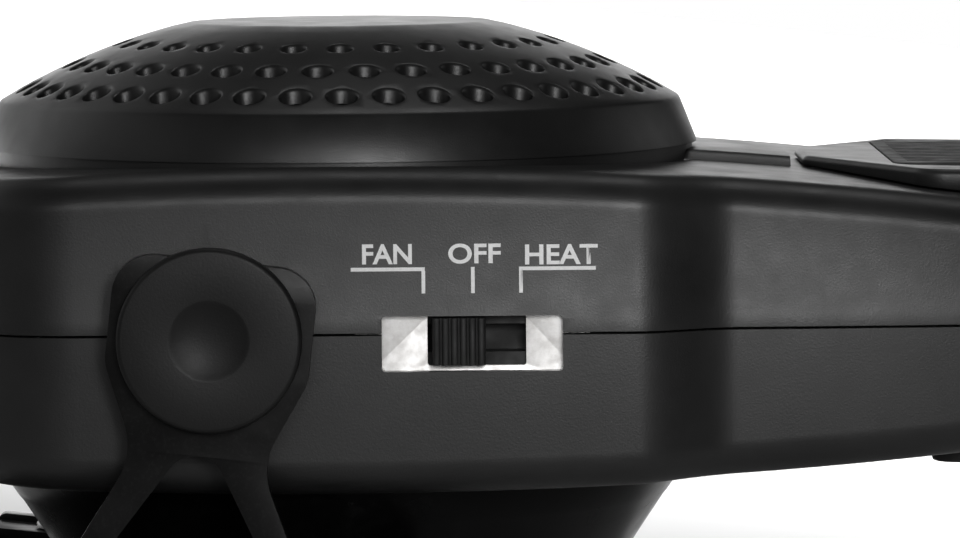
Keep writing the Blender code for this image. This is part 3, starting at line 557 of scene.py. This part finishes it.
def outlet_nozzle():
    """The cone, with a rounded bend and a rounded lip at its mouth."""
    top, bottom, wall = NOZZLE[1].z, NOZZLE[0].z, 1.8 * MM
    radius, mouth = NOZZLE[1].x, 45.4 * MM
    outer = [
        (radius, top),
        (radius, -24 * MM),
        (radius - 0.3 * MM, -24.8 * MM),
        (52.4 * MM, -29.4 * MM),
        (51.9 * MM, -30.1 * MM),
        (51.3 * MM, -30.8 * MM),
        (mouth + 0.35 * MM, bottom + 0.8 * MM),
        (mouth - 0.2 * MM, bottom + 0.15 * MM),
        (mouth - 0.8 * MM, bottom),
    ]
    inner = [(mouth - wall, bottom + 0.6 * MM), (51.9 * MM - wall, -30.1 * MM)]
    inner += [(radius - wall, -24.4 * MM), (radius - wall, top)]
    return turned("nozzle", outer + inner, 192)


def outlet_grille():
    loops = [circle((0, 0), GRILLE[1].x, 160)]
    for ring in range(3):
        inner = (9 + 11 * ring) * MM
        outer = inner + 7.5 * MM
        bar = math.degrees(2 * MM / inner)
        for quarter in range(4):
            start = 90 * quarter + bar
            end = 90 * quarter + 90 - bar
            loops.append(arc((0, 0), outer, start, end, 30) + arc((0, 0), inner, end, start, 30))
    thickness = GRILLE[1].z - GRILLE[0].z
    grille = plate("grille", loops, thickness)
    return bevelled(moved(grille, shift(z=(GRILLE[0].z + GRILLE[1].z) / 2)), 0.35 * MM)


# Pivot and bracket


def along_y(obj, side):
    """Lays a piece that was turned about z along y, with its heights counted outwards from y = 0."""
    return moved(obj, Matrix.Rotation(side * -math.pi / 2, 4, "X"), shift(PIVOT_X))


def pivot_disc(name, side):
    """A disc with a rounded rim, a raised ring round a spherical dimple, and its stem."""
    dimple, depth, edge = 5.9 * MM, 1.1 * MM, 0.75 * MM
    radius = (DISC[1].x - DISC[0].x) / 2
    sphere = (dimple**2 + depth**2) / (2 * depth)
    profile = []
    for i in range(17):
        r = dimple * i / 16
        profile.append((r, FACE - depth + sphere - math.sqrt(sphere**2 - r**2) - 0.04 * MM))
    profile += [(dimple + 0.25 * MM, FACE), (radius - edge, FACE)]
    for t in (0.4, 0.8, 1.2):
        profile.append((radius - edge + edge * math.sin(t), FACE - edge + edge * math.cos(t)))
    back = FACE - 2.7 * MM
    profile += [(radius, FACE - edge), (radius, back + 0.2 * MM), (radius - 0.2 * MM, back)]
    profile += [(3 * MM, back), (3 * MM, FACE - 16 * MM), (0, FACE - 16 * MM)]
    return along_y(turned(name, profile, 128), side)


def arm(name, side):
    """A wishbone arm with rounded edges, in one piece with its inward flange."""
    low, foot, half = ARM[0].z, -46.5 * MM, ARM[1].x
    outline = [
        (15.1 * MM, 11.6 * MM, 6 * MM),
        (15.1 * MM, -5 * MM, 6 * MM),
        (9.4 * MM, -18 * MM, 10 * MM),
        (23.3 * MM, foot, 2 * MM),
        (half, foot, 1.5 * MM),
        (half, low, 0),
    ]
    arch = [(0, -13.2 * MM, 4.5 * MM), (20 * MM, foot + 0.4 * MM, MM), (-20 * MM, foot + 0.4 * MM, MM)]
    loops = [filleted(mirrored(outline), 14), filleted(arch, 14), circle((0, 0), 6.3 * MM)]
    thickness = 3.5 * MM
    outside = ARM[1].y
    piece = moved(plate(name, loops, thickness), UPRIGHT, shift(y=side * (outside - thickness / 2)))
    work = bmesh.new()
    ends = sorted((side * ARM[0].y, side * (outside - 2 * MM)))
    add_box(work, (-half, ends[0], low), (half, ends[1], low + 2 * MM))
    piece = combined(piece, finished("flange", work), "UNION")
    holes = bmesh.new()
    for end in (-1, 1):
        add_rod(holes, (end * 28 * MM, side * SCREW_Y, low), 1.6 * MM, 10 * MM, steps=32)
    piece = combined(piece, finished("flange_holes", holes), "DIFFERENCE")
    return bevelled(piece, 0.5 * MM)


def base_plate():
    half_x, half_y = BASE[1].x, BASE[1].y
    loops = [rectangle(half_x, half_y, 8 * MM)]
    loops += [circle((sx * 28 * MM, sy * SCREW_Y), 1.6 * MM, 32) for sx in (-1, 1) for sy in (-1, 1)]
    piece = plate("foot_plate", loops, BASE[1].z - BASE[0].z)
    return bevelled(moved(piece, shift(z=(BASE[0].z + BASE[1].z) / 2)), 0.5 * MM)


def base_pad():
    """The rubber sheet under the base, with shallow grooves across its underside."""
    piece = plate("foot_pad", [rectangle(PAD[1].x, PAD[1].y, 6 * MM)], PAD[1].z - PAD[0].z)
    piece = moved(piece, shift(z=(PAD[0].z + PAD[1].z) / 2))
    grooves = bmesh.new()
    for i in range(-9, 10):
        y = i * 6 * MM
        low = (-PAD[1].x + 4 * MM, y - 0.5 * MM, PAD[0].z - MM)
        add_box(grooves, low, (PAD[1].x - 4 * MM, y + 0.5 * MM, PAD[0].z + 0.35 * MM))
    return bevelled(combined(piece, finished("pad_grooves", grooves), "DIFFERENCE"), 0.15 * MM, 2)


def screw(name, x, y, seat, end):
    """A pan-head screw with a domed head and a cross recess."""
    away = 1 if seat > end else -1
    head, wide, shank = seat + away * 0.3 * MM, 2.9 * MM, 1.3 * MM
    profile = [(0, head + away * 1.9 * MM)]
    for t in (0.25, 0.5, 0.8, 1.1, 1.4):
        profile.append((wide * math.sin(t), head + away * (0.5 + 1.4 * math.cos(t)) * MM))
    profile += [(wide, head + away * 0.4 * MM), (wide, head), (shank, head), (shank, end), (0, end)]
    piece = turned(name, profile, 64)
    cross = bmesh.new()
    low, high = sorted((head + away * 0.7 * MM, head + away * 3 * MM))
    add_box(cross, (-1.5 * MM, -0.3 * MM, low), (1.5 * MM, 0.3 * MM, high))
    cross_2 = bmesh.new()
    add_box(cross_2, (-0.3 * MM, -1.5 * MM, low), (0.3 * MM, 1.5 * MM, high))
    piece = combined(piece, finished("recess", cross), "DIFFERENCE")
    piece = combined(piece, finished("recess_2", cross_2), "DIFFERENCE")
    return moved(piece, shift(x, y))


# Switch


def switch_plate():
    middle = ((WINDOW[0] + WINDOW[1]) / 2, (WINDOW[2] + WINDOW[3]) / 2)
    slot = [(SLOT[0], SLOT[2], 0.4 * MM), (SLOT[1], SLOT[2], 0.4 * MM)]
    slot += [(SLOT[1], SLOT[3], 0.4 * MM), (SLOT[0], SLOT[3], 0.4 * MM)]
    half_x = (PLATE[1].x - PLATE[0].x) / 2
    half_z = (PLATE[1].z - PLATE[0].z) / 2
    loops = [rectangle(half_x, half_z, MM, middle), filleted(slot, 4)]
    thickness = PLATE[1].y - PLATE[0].y
    piece = moved(plate("contact_plate", loops, thickness), UPRIGHT, shift(y=(PLATE[0].y + PLATE[1].y) / 2))
    return bevelled(piece, 0.12 * MM, 2)


def switch_knob():
    """A slider cap with rounded ribs, on its stem."""
    left, right = KNOB[0].x, KNOB[1].x
    face, back = KNOB[0].y, -WIDE_HALF + WALL
    low, high = SLOT[2] + 0.3 * MM, SLOT[3] - 0.3 * MM
    ribs = 6
    pitch = (right - left) / ribs
    outline = [(left, back)]
    for i in range(ribs):
        centre = left + pitch * (i + 0.5)
        half = pitch / 2 - 0.22 * MM
        outline += [(centre - pitch / 2 + 0.04 * MM, face + 0.65 * MM), (centre - half, face + 0.4 * MM)]
        for step in range(9):
            t = math.pi * (1 - step / 8)
            outline.append((centre + half * math.cos(t), face + 0.3 * MM * (1 - math.sin(t))))
        outline += [(centre + half, face + 0.4 * MM), (centre + pitch / 2 - 0.04 * MM, face + 0.65 * MM)]
    outline.append((right, back))
    cap = moved(plate("slider", [outline], high - low), shift(z=(low + high) / 2))
    cap = bevelled(cap, 0.15 * MM, 2, 60)
    work = bmesh.new()
    middle = (left + right) / 2
    add_box(work, (middle - 2 * MM, back - MM, -2.2 * MM), (middle + 2 * MM, KNOB[1].y, 0.4 * MM))
    stem = bevelled(finished("stem", work), 0.2 * MM, 2)
    return smoothed(joined("slider", [cap, stem]), math.radians(50))


def legend(word, left, right, middle, height):
    """A word in Blender's built-in face, made bold and fitted to its width and height."""
    curve = bpy.data.curves.new("legend_" + word, "FONT")
    curve.body = word
    curve.size = 1
    curve.offset = 0.022
    curve.extrude = 0.01
    letters = baked(bpy.data.objects.new("legend_" + word, curve))
    low = [min(v.co[i] for v in letters.data.vertices) for i in range(3)]
    high = [max(v.co[i] for v in letters.data.vertices) for i in range(3)]
    size = Matrix.Diagonal(((right - left) / (high[0] - low[0]), height / (high[1] - low[1]), 2.5 * MM, 1))
    centre = shift(-(low[0] + high[0]) / 2, -(low[1] + high[1]) / 2, -(low[2] + high[2]) / 2)
    wall = shift((left + right) / 2, -WIDE_HALF + LIP_DEPTH - PRINT_PROUD, middle)
    return moved(letters, centre, size, UPRIGHT, wall)


def legend_line(name, left, right, tick):
    """A rule under a word with a tick down towards the switch."""
    high, low, wide = 10 * MM, 6.1 * MM, 0.55 * MM
    points = [(left, high), (right, high), (right, high - wide), (tick + wide, high - wide)]
    points += [(tick + wide, low), (tick, low), (tick, high - wide), (left, high - wide)]
    unique = [p for i, p in enumerate(points) if p != points[i - 1]]
    piece = plate(name, [unique], 0.06 * MM)
    return moved(piece, UPRIGHT, shift(y=-WIDE_HALF + LIP_DEPTH - PRINT_PROUD))


# Handle, hinge and small pieces


def handle_top(x):
    along = (x - FLAP[0].x) / (HINGE.x - FLAP[0].x)
    return (23.1 - 0.9 * along) * MM


def handle():
    """A flared flap that follows the housing, with a hinge barrel along its rear edge."""
    tip, half, rear = FLAP[0].x, FLAP[1].y, 105.5 * MM
    corners = [
        (tip, -12 * MM, 4 * MM),
        (90 * MM, -half, 6 * MM),
        (rear, -half, 3 * MM),
        (rear, -30 * MM, 0),
        (HINGE.x, -30 * MM, 0),
    ]
    corners += [(x, -y, radius) for x, y, radius in reversed(corners)]
    outline = filleted(corners, 16)
    work = bmesh.new()
    edge = 1.0 * MM
    levels = [(0.2 * MM, None), (0, None)]
    for i in range(9):
        t = i * math.pi / 16
        levels.append((edge * (1 - math.cos(t)), edge * (1 - math.sin(t))))
    rings = []
    for i, (inset, drop) in enumerate(levels):
        ring = []
        for x, y in inset_loop(outline, inset):
            z = top_height(x) + (0.3 + 0.2 * i) * MM if drop is None else handle_top(x) - drop
            ring.append(work.verts.new((x, y, z)))
        rings.append(ring)
    for low, high in zip(rings, rings[1:]):
        for i in range(len(low)):
            work.faces.new((low[i - 1], low[i], high[i], high[i - 1]))
    caps = [work.faces.new(rings[0]), work.faces.new(rings[-1])]
    bmesh.ops.triangulate(work, faces=caps)
    flap = finished("flap", work)
    barrel = bmesh.new()
    add_rod(barrel, HINGE, 2.7 * MM, 60 * MM, "Y", 64)
    flap = combined(flap, finished("barrel", barrel), "UNION")
    pocket = plate("pocket", [rectangle(9 * MM, 31 * MM, 4 * MM)], 4 * MM)
    flap = combined(flap, moved(pocket, shift(95 * MM, 0, 23.6 * MM)), "DIFFERENCE")
    bore = bmesh.new()
    add_rod(bore, HINGE, 1.6 * MM, 90 * MM, "Y", 32)
    flap = combined(flap, finished("bore", bore), "DIFFERENCE")
    return bevelled(flap, 0.25 * MM, 2, 60)


def grip_insert():
    """A rubber inlay with rounded ribs that run across the handle."""
    half_x = (GRIP[1].x - GRIP[0].x) / 2
    half_y = (GRIP[1].y - GRIP[0].y) / 2
    centre = (GRIP[0].x + GRIP[1].x) / 2
    piece = plate("inlay", [rectangle(half_x, half_y, 3.7 * MM)], GRIP[1].z - GRIP[0].z)
    piece = moved(piece, shift(centre, 0, (GRIP[0].z + GRIP[1].z) / 2))
    grooves = bmesh.new()
    for i in range(-6, 7):
        add_rod(grooves, (centre, i * 4 * MM, GRIP[1].z + 0.45 * MM), 0.8 * MM, 13 * MM, "X", 24)
    return bevelled(combined(piece, finished("inlay_grooves", grooves), "DIFFERENCE"), 0.12 * MM, 2)


def hinge_pin():
    half = PIN[1].y
    profile = [(0, half), (1 * MM, half), (1.3 * MM, half - 0.3 * MM)]
    profile += [(1.3 * MM, 0.3 * MM - half), (1 * MM, -half), (0, -half)]
    return moved(turned("pin", profile, 48), UPRIGHT, shift(HINGE.x, 0, HINGE.z))


def housing_foot(name, side):
    profile = [(0, -19.2), (4, -19.2), (4, -21.5), (3.85, -21.85)]
    profile += [(3.5, -22), (1.8, -22), (1.5, -21.6), (0, -21.6)]
    piece = turned(name, [(radius * MM, z * MM) for radius, z in profile], 64)
    return moved(piece, shift(95 * MM, side * 40 * MM))


def cord_gland():
    """The cord's strain relief: a collar and a flexing nose with grooves round it."""
    outer = [(3.2, 124), (3.4, 123.7), (3.45, 123.2), (3.1, 123.1), (3.1, 122.7), (3.7, 122.6), (3.8, 122.0)]
    outer += [(3.5, 121.9), (3.5, 121.5), (4.1, 121.4), (4.2, 121), (4.9, 121), (5.2, 120.7), (5.2, 118.3)]
    profile = [(radius * MM, x * MM) for radius, x in outer + [(3.5, 118.3), (3.5, 113), (2, 113), (2, 124)]]
    return moved(turned("gland", profile, 96), Matrix.Rotation(math.pi / 2, 4, "Y"), shift(z=-6 * MM))


# Materials


class Nodes:
    """Short ways of adding nodes to one material."""

    def __init__(self, name):
        self.material = bpy.data.materials.new(name)
        self.material.use_nodes = True
        self.tree = self.material.node_tree
        self.shader = self.tree.nodes["Principled BSDF"]
        self.place = self.add("ShaderNodeTexCoord").outputs["Object"]

    def add(self, kind, **settings):
        node = self.tree.nodes.new(kind)
        for key, value in settings.items():
            if hasattr(node, key):
                setattr(node, key, value)
            else:
                node.inputs[key].default_value = value
        return node

    def link(self, output, target):
        self.tree.links.new(output, target)

    def stretched(self, scale):
        mapping = self.add("ShaderNodeMapping", Scale=scale)
        self.link(self.place, mapping.inputs["Vector"])
        return mapping.outputs["Vector"]

    def noise(self, size, detail=3.0, roughness=0.5, place=None):
        """Noise whose features are about size metres across."""
        node = self.add("ShaderNodeTexNoise", Scale=1 / size, Detail=detail)
        node.inputs["Roughness"].default_value = roughness
        self.link(place or self.place, node.inputs["Vector"])
        return node.outputs["Fac"]

    def ramp(self, factor, low, high, first, last):
        node = self.add("ShaderNodeMapRange")
        for key, value in (("From Min", low), ("From Max", high), ("To Min", first), ("To Max", last)):
            node.inputs[key].default_value = value
        self.link(factor, node.inputs["Value"])
        return node.outputs["Result"]

    def colours(self, factor, first, last):
        node = self.add("ShaderNodeMix", data_type="RGBA")
        self.link(factor, node.inputs["Factor"])
        node.inputs["A"].default_value = (*first, 1)
        node.inputs["B"].default_value = (*last, 1)
        self.link(node.outputs["Result"], self.shader.inputs["Base Color"])

    def bump(self, height, strength, distance, below=None):
        node = self.add("ShaderNodeBump", Strength=strength, Distance=distance)
        self.link(height, node.inputs["Height"])
        if below:
            self.link(below, node.inputs["Normal"])
        return node.outputs["Normal"]


def grey(value, warm=0.0):
    return (value * (1 + warm), value, value * (1 - warm))


def moulded(name, dark, light, smooth, rough, grain, depth, specular=0.5):
    """Moulded plastic: fine spark-eroded grain, a slow drift of tone, and rubbed patches."""
    n = Nodes(name)
    drift = n.noise(22 * MM, 4.0)
    n.colours(n.ramp(drift, 0.35, 0.65, 0, 1), dark, light)
    rubbed = n.noise(7 * MM, 6.0, 0.6)
    n.link(n.ramp(rubbed, 0.3, 0.7, smooth, rough), n.shader.inputs["Roughness"])
    coarse = n.bump(n.noise(9 * grain, 2.0), 0.25, depth)
    fine = n.bump(n.noise(grain, 2.0, 0.6), 0.8, depth, coarse)
    n.link(fine, n.shader.inputs["Normal"])
    n.shader.inputs["Specular IOR Level"].default_value = specular
    return n.material


def powder_coat():
    """Baked enamel on the bracket: an orange-peel surface with faint specks."""
    n = Nodes("satin_enamel")
    specks = n.ramp(n.noise(0.5 * MM, 2.0), 0.52, 0.72, 0, 1)
    n.colours(specks, grey(0.003), grey(0.008))
    n.shader.inputs["Specular IOR Level"].default_value = 0.2
    n.link(n.ramp(n.noise(6 * MM, 5.0), 0.3, 0.7, 0.3, 0.44), n.shader.inputs["Roughness"])
    peel = n.bump(n.noise(1.1 * MM, 2.0), 0.5, 0.02 * MM)
    n.link(n.bump(n.noise(0.25 * MM, 2.0), 0.3, 0.01 * MM, peel), n.shader.inputs["Normal"])
    return n.material


def gloss_black():
    """The outlet's polished plastic, with turning marks and a little dust."""
    n = Nodes("polished_black")
    dust = n.ramp(n.noise(2.5 * MM, 8.0, 0.7), 0.5, 0.8, 0, 1)
    n.colours(dust, grey(0.002), grey(0.006))
    n.shader.inputs["Specular IOR Level"].default_value = 0.12
    n.link(n.ramp(n.noise(9 * MM, 6.0), 0.3, 0.7, 0.16, 0.3), n.shader.inputs["Roughness"])
    flow = n.stretched((1, 1, 5))
    n.link(n.bump(n.noise(4 * MM, 3.0, place=flow), 0.2, 0.05 * MM), n.shader.inputs["Normal"])
    return n.material


def rubber():
    n = Nodes("soft_rubber")
    bloom = n.ramp(n.noise(5 * MM, 7.0, 0.65), 0.4, 0.75, 0, 1)
    n.colours(bloom, grey(0.009), grey(0.022))
    n.link(n.ramp(n.noise(3 * MM, 4.0), 0.3, 0.7, 0.55, 0.8), n.shader.inputs["Roughness"])
    n.link(n.bump(n.noise(0.3 * MM, 3.0, 0.6), 0.6, 0.02 * MM), n.shader.inputs["Normal"])
    return n.material


def plated(name, dull, bright, smooth, rough, scratch):
    """Plated or rolled metal: cloudy tarnish, fine drawn lines and small pits."""
    n = Nodes(name)
    clouds = n.noise(2.2 * MM, 6.0, 0.65)
    n.colours(n.ramp(clouds, 0.35, 0.65, 0, 1), dull, bright)
    n.link(n.ramp(clouds, 0.3, 0.7, rough, smooth), n.shader.inputs["Roughness"])
    lines = n.bump(n.noise(0.4 * MM, 4.0, 0.7, n.stretched(scratch)), 0.35, 0.02 * MM)
    n.link(n.bump(n.noise(0.5 * MM, 3.0), 0.3, 0.02 * MM, lines), n.shader.inputs["Normal"])
    n.shader.inputs["Metallic"].default_value = 1
    return n.material


def printed():
    """Pad-printed white ink, slightly uneven where it sits on the grain."""
    n = Nodes("white_print")
    thin = n.ramp(n.noise(0.6 * MM, 6.0, 0.7), 0.3, 0.7, 0, 1)
    n.colours(thin, grey(0.8), grey(0.95))
    n.link(n.ramp(n.noise(0.4 * MM, 3.0), 0.3, 0.7, 0.45, 0.65), n.shader.inputs["Roughness"])
    n.link(n.bump(n.noise(0.35 * MM, 3.0), 0.4, 0.02 * MM), n.shader.inputs["Normal"])
    return n.material


def pale_floor():
    n = Nodes("pale_floor")
    n.colours(n.ramp(n.noise(0.4, 3.0), 0.3, 0.7, 0, 1), grey(0.86), grey(0.88))
    n.shader.inputs["Roughness"].default_value = 0.9
    return n.material


BROWN = (0.08, 0.045, 0.025)
LIGHT_BROWN = (0.11, 0.06, 0.035)
FINISHES = {
    "housing": moulded("textured_black", grey(0.009), grey(0.014), 0.38, 0.48, 0.28 * MM, 0.03 * MM),
    "cap": moulded("dome_black", grey(0.007), grey(0.011), 0.34, 0.44, 0.24 * MM, 0.025 * MM),
    "disc": moulded("disc_black", grey(0.006), grey(0.010), 0.42, 0.52, 0.35 * MM, 0.03 * MM, 0.25),
    "fan": moulded("fan_plastic", grey(0.04), grey(0.05), 0.35, 0.5, 0.3 * MM, 0.02 * MM),
    "brown": moulded("brown_resin", BROWN, LIGHT_BROWN, 0.5, 0.65, 0.4 * MM, 0.04 * MM),
    "bracket": powder_coat(),
    "nozzle": gloss_black(),
    "rubber": rubber(),
    "nickel": plated("nickel_plate", grey(0.74, 0.02), grey(0.94, 0.01), 0.4, 0.6, (1, 1, 14)),
    "steel": plated("zinc_steel", grey(0.34), grey(0.5), 0.26, 0.42, (1, 1, 8)),
    "aluminium": plated("rolled_aluminium", grey(0.6), grey(0.75), 0.3, 0.45, (12, 1, 1)),
    "print": printed(),
}
CARRIED = {
    "housing": ["fan_shroud"],
    "fan": ["fan_impeller"],
    "brown": ["heater_frame"],
    "aluminium": ["ptc_heater_core"],
    "rubber": ["switch_body", "friction_washer_near", "friction_washer_far"],
    "steel": [
        "motor_can",
        "motor_shaft",
        "thermal_cutout",
        "pivot_bush_near",
        "pivot_bush_far",
        "pivot_nut_near",
        "pivot_nut_far",
    ],
}


# The heater


def placed(obj, place, body, finish, *nodes):
    """Links a finished piece, places it, and says what it rides on and stands for."""
    bpy.context.scene.collection.objects.link(obj)
    obj.data.transform(place)
    obj.data.materials.clear()
    obj.data.materials.append(FINISHES[finish])
    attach(obj, body)
    if nodes:
        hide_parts(*nodes)
    return obj


def build_housing():
    placed(upper_shell(), BODY, "heater", "housing", "upper_shell")
    placed(lower_shell(), BODY, "heater", "housing", "lower_shell")
    placed(inlet_cap(), BODY, "heater", "cap", "inlet_cap")
    placed(outlet_nozzle(), BODY, "heater", "nozzle", "outlet_nozzle")
    placed(outlet_grille(), BODY, "heater", "nozzle", "outlet_grille")
    placed(cord_gland(), BODY, "heater", "rubber", "cord_gland")
    placed(hinge_pin(), BODY, "heater", "steel", "hinge_pin")
    number = 1
    for x, y in SCREW_PLACES:
        for side in (-1, 1):
            name = f"housing_screw_{number}"
            seat = bottom_height(x) + 3.2 * MM
            piece = screw("looks_" + name, x, side * y, seat, SCREW_TIP)
            placed(piece, BODY, "heater", "steel", name)
            number += 1


def build_bracket():
    placed(base_plate(), BRACKET, "bracket", "bracket", "base_plate")
    placed(base_pad(), BRACKET, "bracket", "rubber", "base_pad")
    for label, side in (("near", -1), ("far", 1)):
        placed(arm("wishbone_" + label, side), BRACKET, "bracket", "bracket", "arm_" + label)
        placed(pivot_disc("disc_" + label, side), BODY, "heater", "disc", "pivot_disc_" + label)
        placed(housing_foot("stud_" + label, side), BODY, "heater", "rubber", "housing_foot_" + label)
        for i, end in enumerate((-1, 1)):
            name = f"base_screw_{label}_{i + 1}"
            piece = screw("looks_" + name, end * SCREW_X, side * SCREW_Y, ARM[0].z + 2 * MM, BASE[0].z)
            placed(piece, BRACKET, "bracket", "steel", name)


def build_switch():
    placed(switch_plate(), BODY, "heater", "nickel", "switch_plate")
    placed(switch_knob(), BODY, "switch_slider", "rubber", "switch_knob")
    for word, left, right, middle in (
        ("FAN", 4.6 * MM, 12.0 * MM, 12.0 * MM),
        ("OFF", 17.4 * MM, 25.2 * MM, 12.0 * MM),
        ("HEAT", 28.8 * MM, 39.6 * MM, 11.8 * MM),
    ):
        placed(legend(word, left, right, middle, 3 * MM), BODY, "heater", "print")
    placed(legend_line("rule_fan", 2.9 * MM, 13.9 * MM, 13.4 * MM), BODY, "heater", "print")
    placed(legend_line("rule_off", 20.75 * MM, 21.3 * MM, 20.75 * MM), BODY, "heater", "print")
    placed(legend_line("rule_heat", 27.9 * MM, 39.3 * MM, 27.9 * MM), BODY, "heater", "print")


def build_handle():
    placed(handle(), BODY, "handle", "housing", "handle")
    placed(grip_insert(), BODY, "handle", "rubber", "grip_insert")


def dress_carried_nodes():
    for finish, names in CARRIED.items():
        for name in names:
            for slot in frame["nodes"][name].material_slots:
                slot.material = FINISHES[finish]


# Floor, light and camera

FLOOR_HALF = 2.2
FLOOR_PLACE = (0, 1.1, -0.0005)
AMBIENT = 0.02
# World light: towards, full within these degrees, nothing beyond these, strength
LOBES = (
    ((0, 1, 0.08), 4, 24, 2.2),
    ((-0.75, 0.65, 0.25), 5, 38, 0.7),
    ((-1, -0.1, 0.15), 5, 45, 0.3),
    ((0.9, 0.5, 0.2), 4, 30, 0.4),
)
# Area lights: name, place, target, size, power, spread in degrees
LIGHTS = (
    ("front_right", (0.045, -0.42, 0.14), (0.03, 0, 0.055), (0.08, 0.10), 0.07, 70),
    ("front_strip", (0.03, -0.50, 0.19), (0.02, 0, 0.055), (0.3, 0.06), 0.065, 70),
    ("front_left", (-0.16, -0.50, 0.16), (-0.05, 0, 0.055), (0.2, 0.06), 0.024, 90),
    ("floor_wash", (0, 1.7, 1.2), (0, 1.9, 0), (3, 3.2), 80, 60),
)
# Camera, in body coordinates
CAMERA_PLACE = (22.1 * MM, -900 * MM, 76.9 * MM)
CAMERA_LENS = 212.1
CAMERA_PITCH = -4.59
CAMERA_ROLL = -0.46


def build_floor():
    work = bmesh.new()
    bmesh.ops.create_grid(work, x_segments=4, y_segments=4, size=FLOOR_HALF)
    floor = finished("floor", work)
    bpy.context.scene.collection.objects.link(floor)
    floor.location = FLOOR_PLACE
    floor.data.materials.append(pale_floor())


def build_world():
    """Soft studio light: bright low down behind and to the left, dim overhead, with a plain pale backdrop."""
    world = bpy.data.worlds.new("studio")
    world.use_nodes = True
    tree = world.node_tree
    background = tree.nodes["Background"]
    background.inputs["Color"].default_value = (1, 1, 1, 1)
    direction = tree.nodes.new("ShaderNodeTexCoord").outputs["Generated"]

    def lobe(towards, inner, outer, strength):
        """Light from round one direction, at full strength inside one angle and none outside another."""
        dot = tree.nodes.new("ShaderNodeVectorMath")
        dot.operation = "DOT_PRODUCT"
        dot.inputs[1].default_value = Vector(towards).normalized()
        tree.links.new(direction, dot.inputs[0])
        fade = tree.nodes.new("ShaderNodeMapRange")
        fade.interpolation_type = "SMOOTHERSTEP"
        fade.inputs["From Min"].default_value = math.cos(math.radians(outer))
        fade.inputs["From Max"].default_value = math.cos(math.radians(inner))
        fade.inputs["To Max"].default_value = strength
        tree.links.new(dot.outputs["Value"], fade.inputs["Value"])
        return fade.outputs["Result"]

    total = None
    for settings in LOBES:
        add = tree.nodes.new("ShaderNodeMath")
        add.inputs[0].default_value = AMBIENT
        if total:
            tree.links.new(total, add.inputs[0])
        tree.links.new(lobe(*settings), add.inputs[1])
        total = add.outputs["Value"]
    backdrop = tree.nodes.new("ShaderNodeMix")
    backdrop.inputs["B"].default_value = 1
    seen = tree.nodes.new("ShaderNodeLightPath").outputs["Is Camera Ray"]
    tree.links.new(seen, backdrop.inputs["Factor"])
    tree.links.new(total, backdrop.inputs["A"])
    tree.links.new(backdrop.outputs["Result"], background.inputs["Strength"])
    bpy.context.scene.world = world


def build_light(name, place, target, size, power, spread):
    """An area light that the camera can't see."""
    lamp = bpy.data.lights.new(name, "AREA")
    lamp.shape = "RECTANGLE"
    lamp.size, lamp.size_y = size
    lamp.energy = power
    lamp.spread = math.radians(spread)
    obj = bpy.data.objects.new(name, lamp)
    obj.visible_camera = False
    bpy.context.scene.collection.objects.link(obj)
    obj.location = place
    obj.rotation_euler = (Vector(target) - Vector(place)).to_track_quat("-Z", "Y").to_euler()


def build_camera():
    """Just above the parting plane, square to the near wall and rolled with the housing."""
    data = bpy.data.cameras.new("camera")
    data.lens = CAMERA_LENS
    data.sensor_width = 36
    data.clip_start = 0.01
    data.clip_end = 100
    camera = bpy.data.objects.new("camera", data)
    bpy.context.scene.collection.objects.link(camera)
    pitch = Matrix.Rotation(math.radians(90 + CAMERA_PITCH), 4, "X")
    roll = Matrix.Rotation(math.radians(CAMERA_ROLL), 4, "Z")
    camera.matrix_world = BODY @ shift(*CAMERA_PLACE) @ pitch @ roll
    bpy.context.scene.camera = camera


build_housing()
build_bracket()
build_switch()
build_handle()
dress_carried_nodes()
build_floor()
build_world()
for settings in LIGHTS:
    build_light(*settings)
build_camera()
bpy.context.scene.view_settings.view_transform = "Standard"
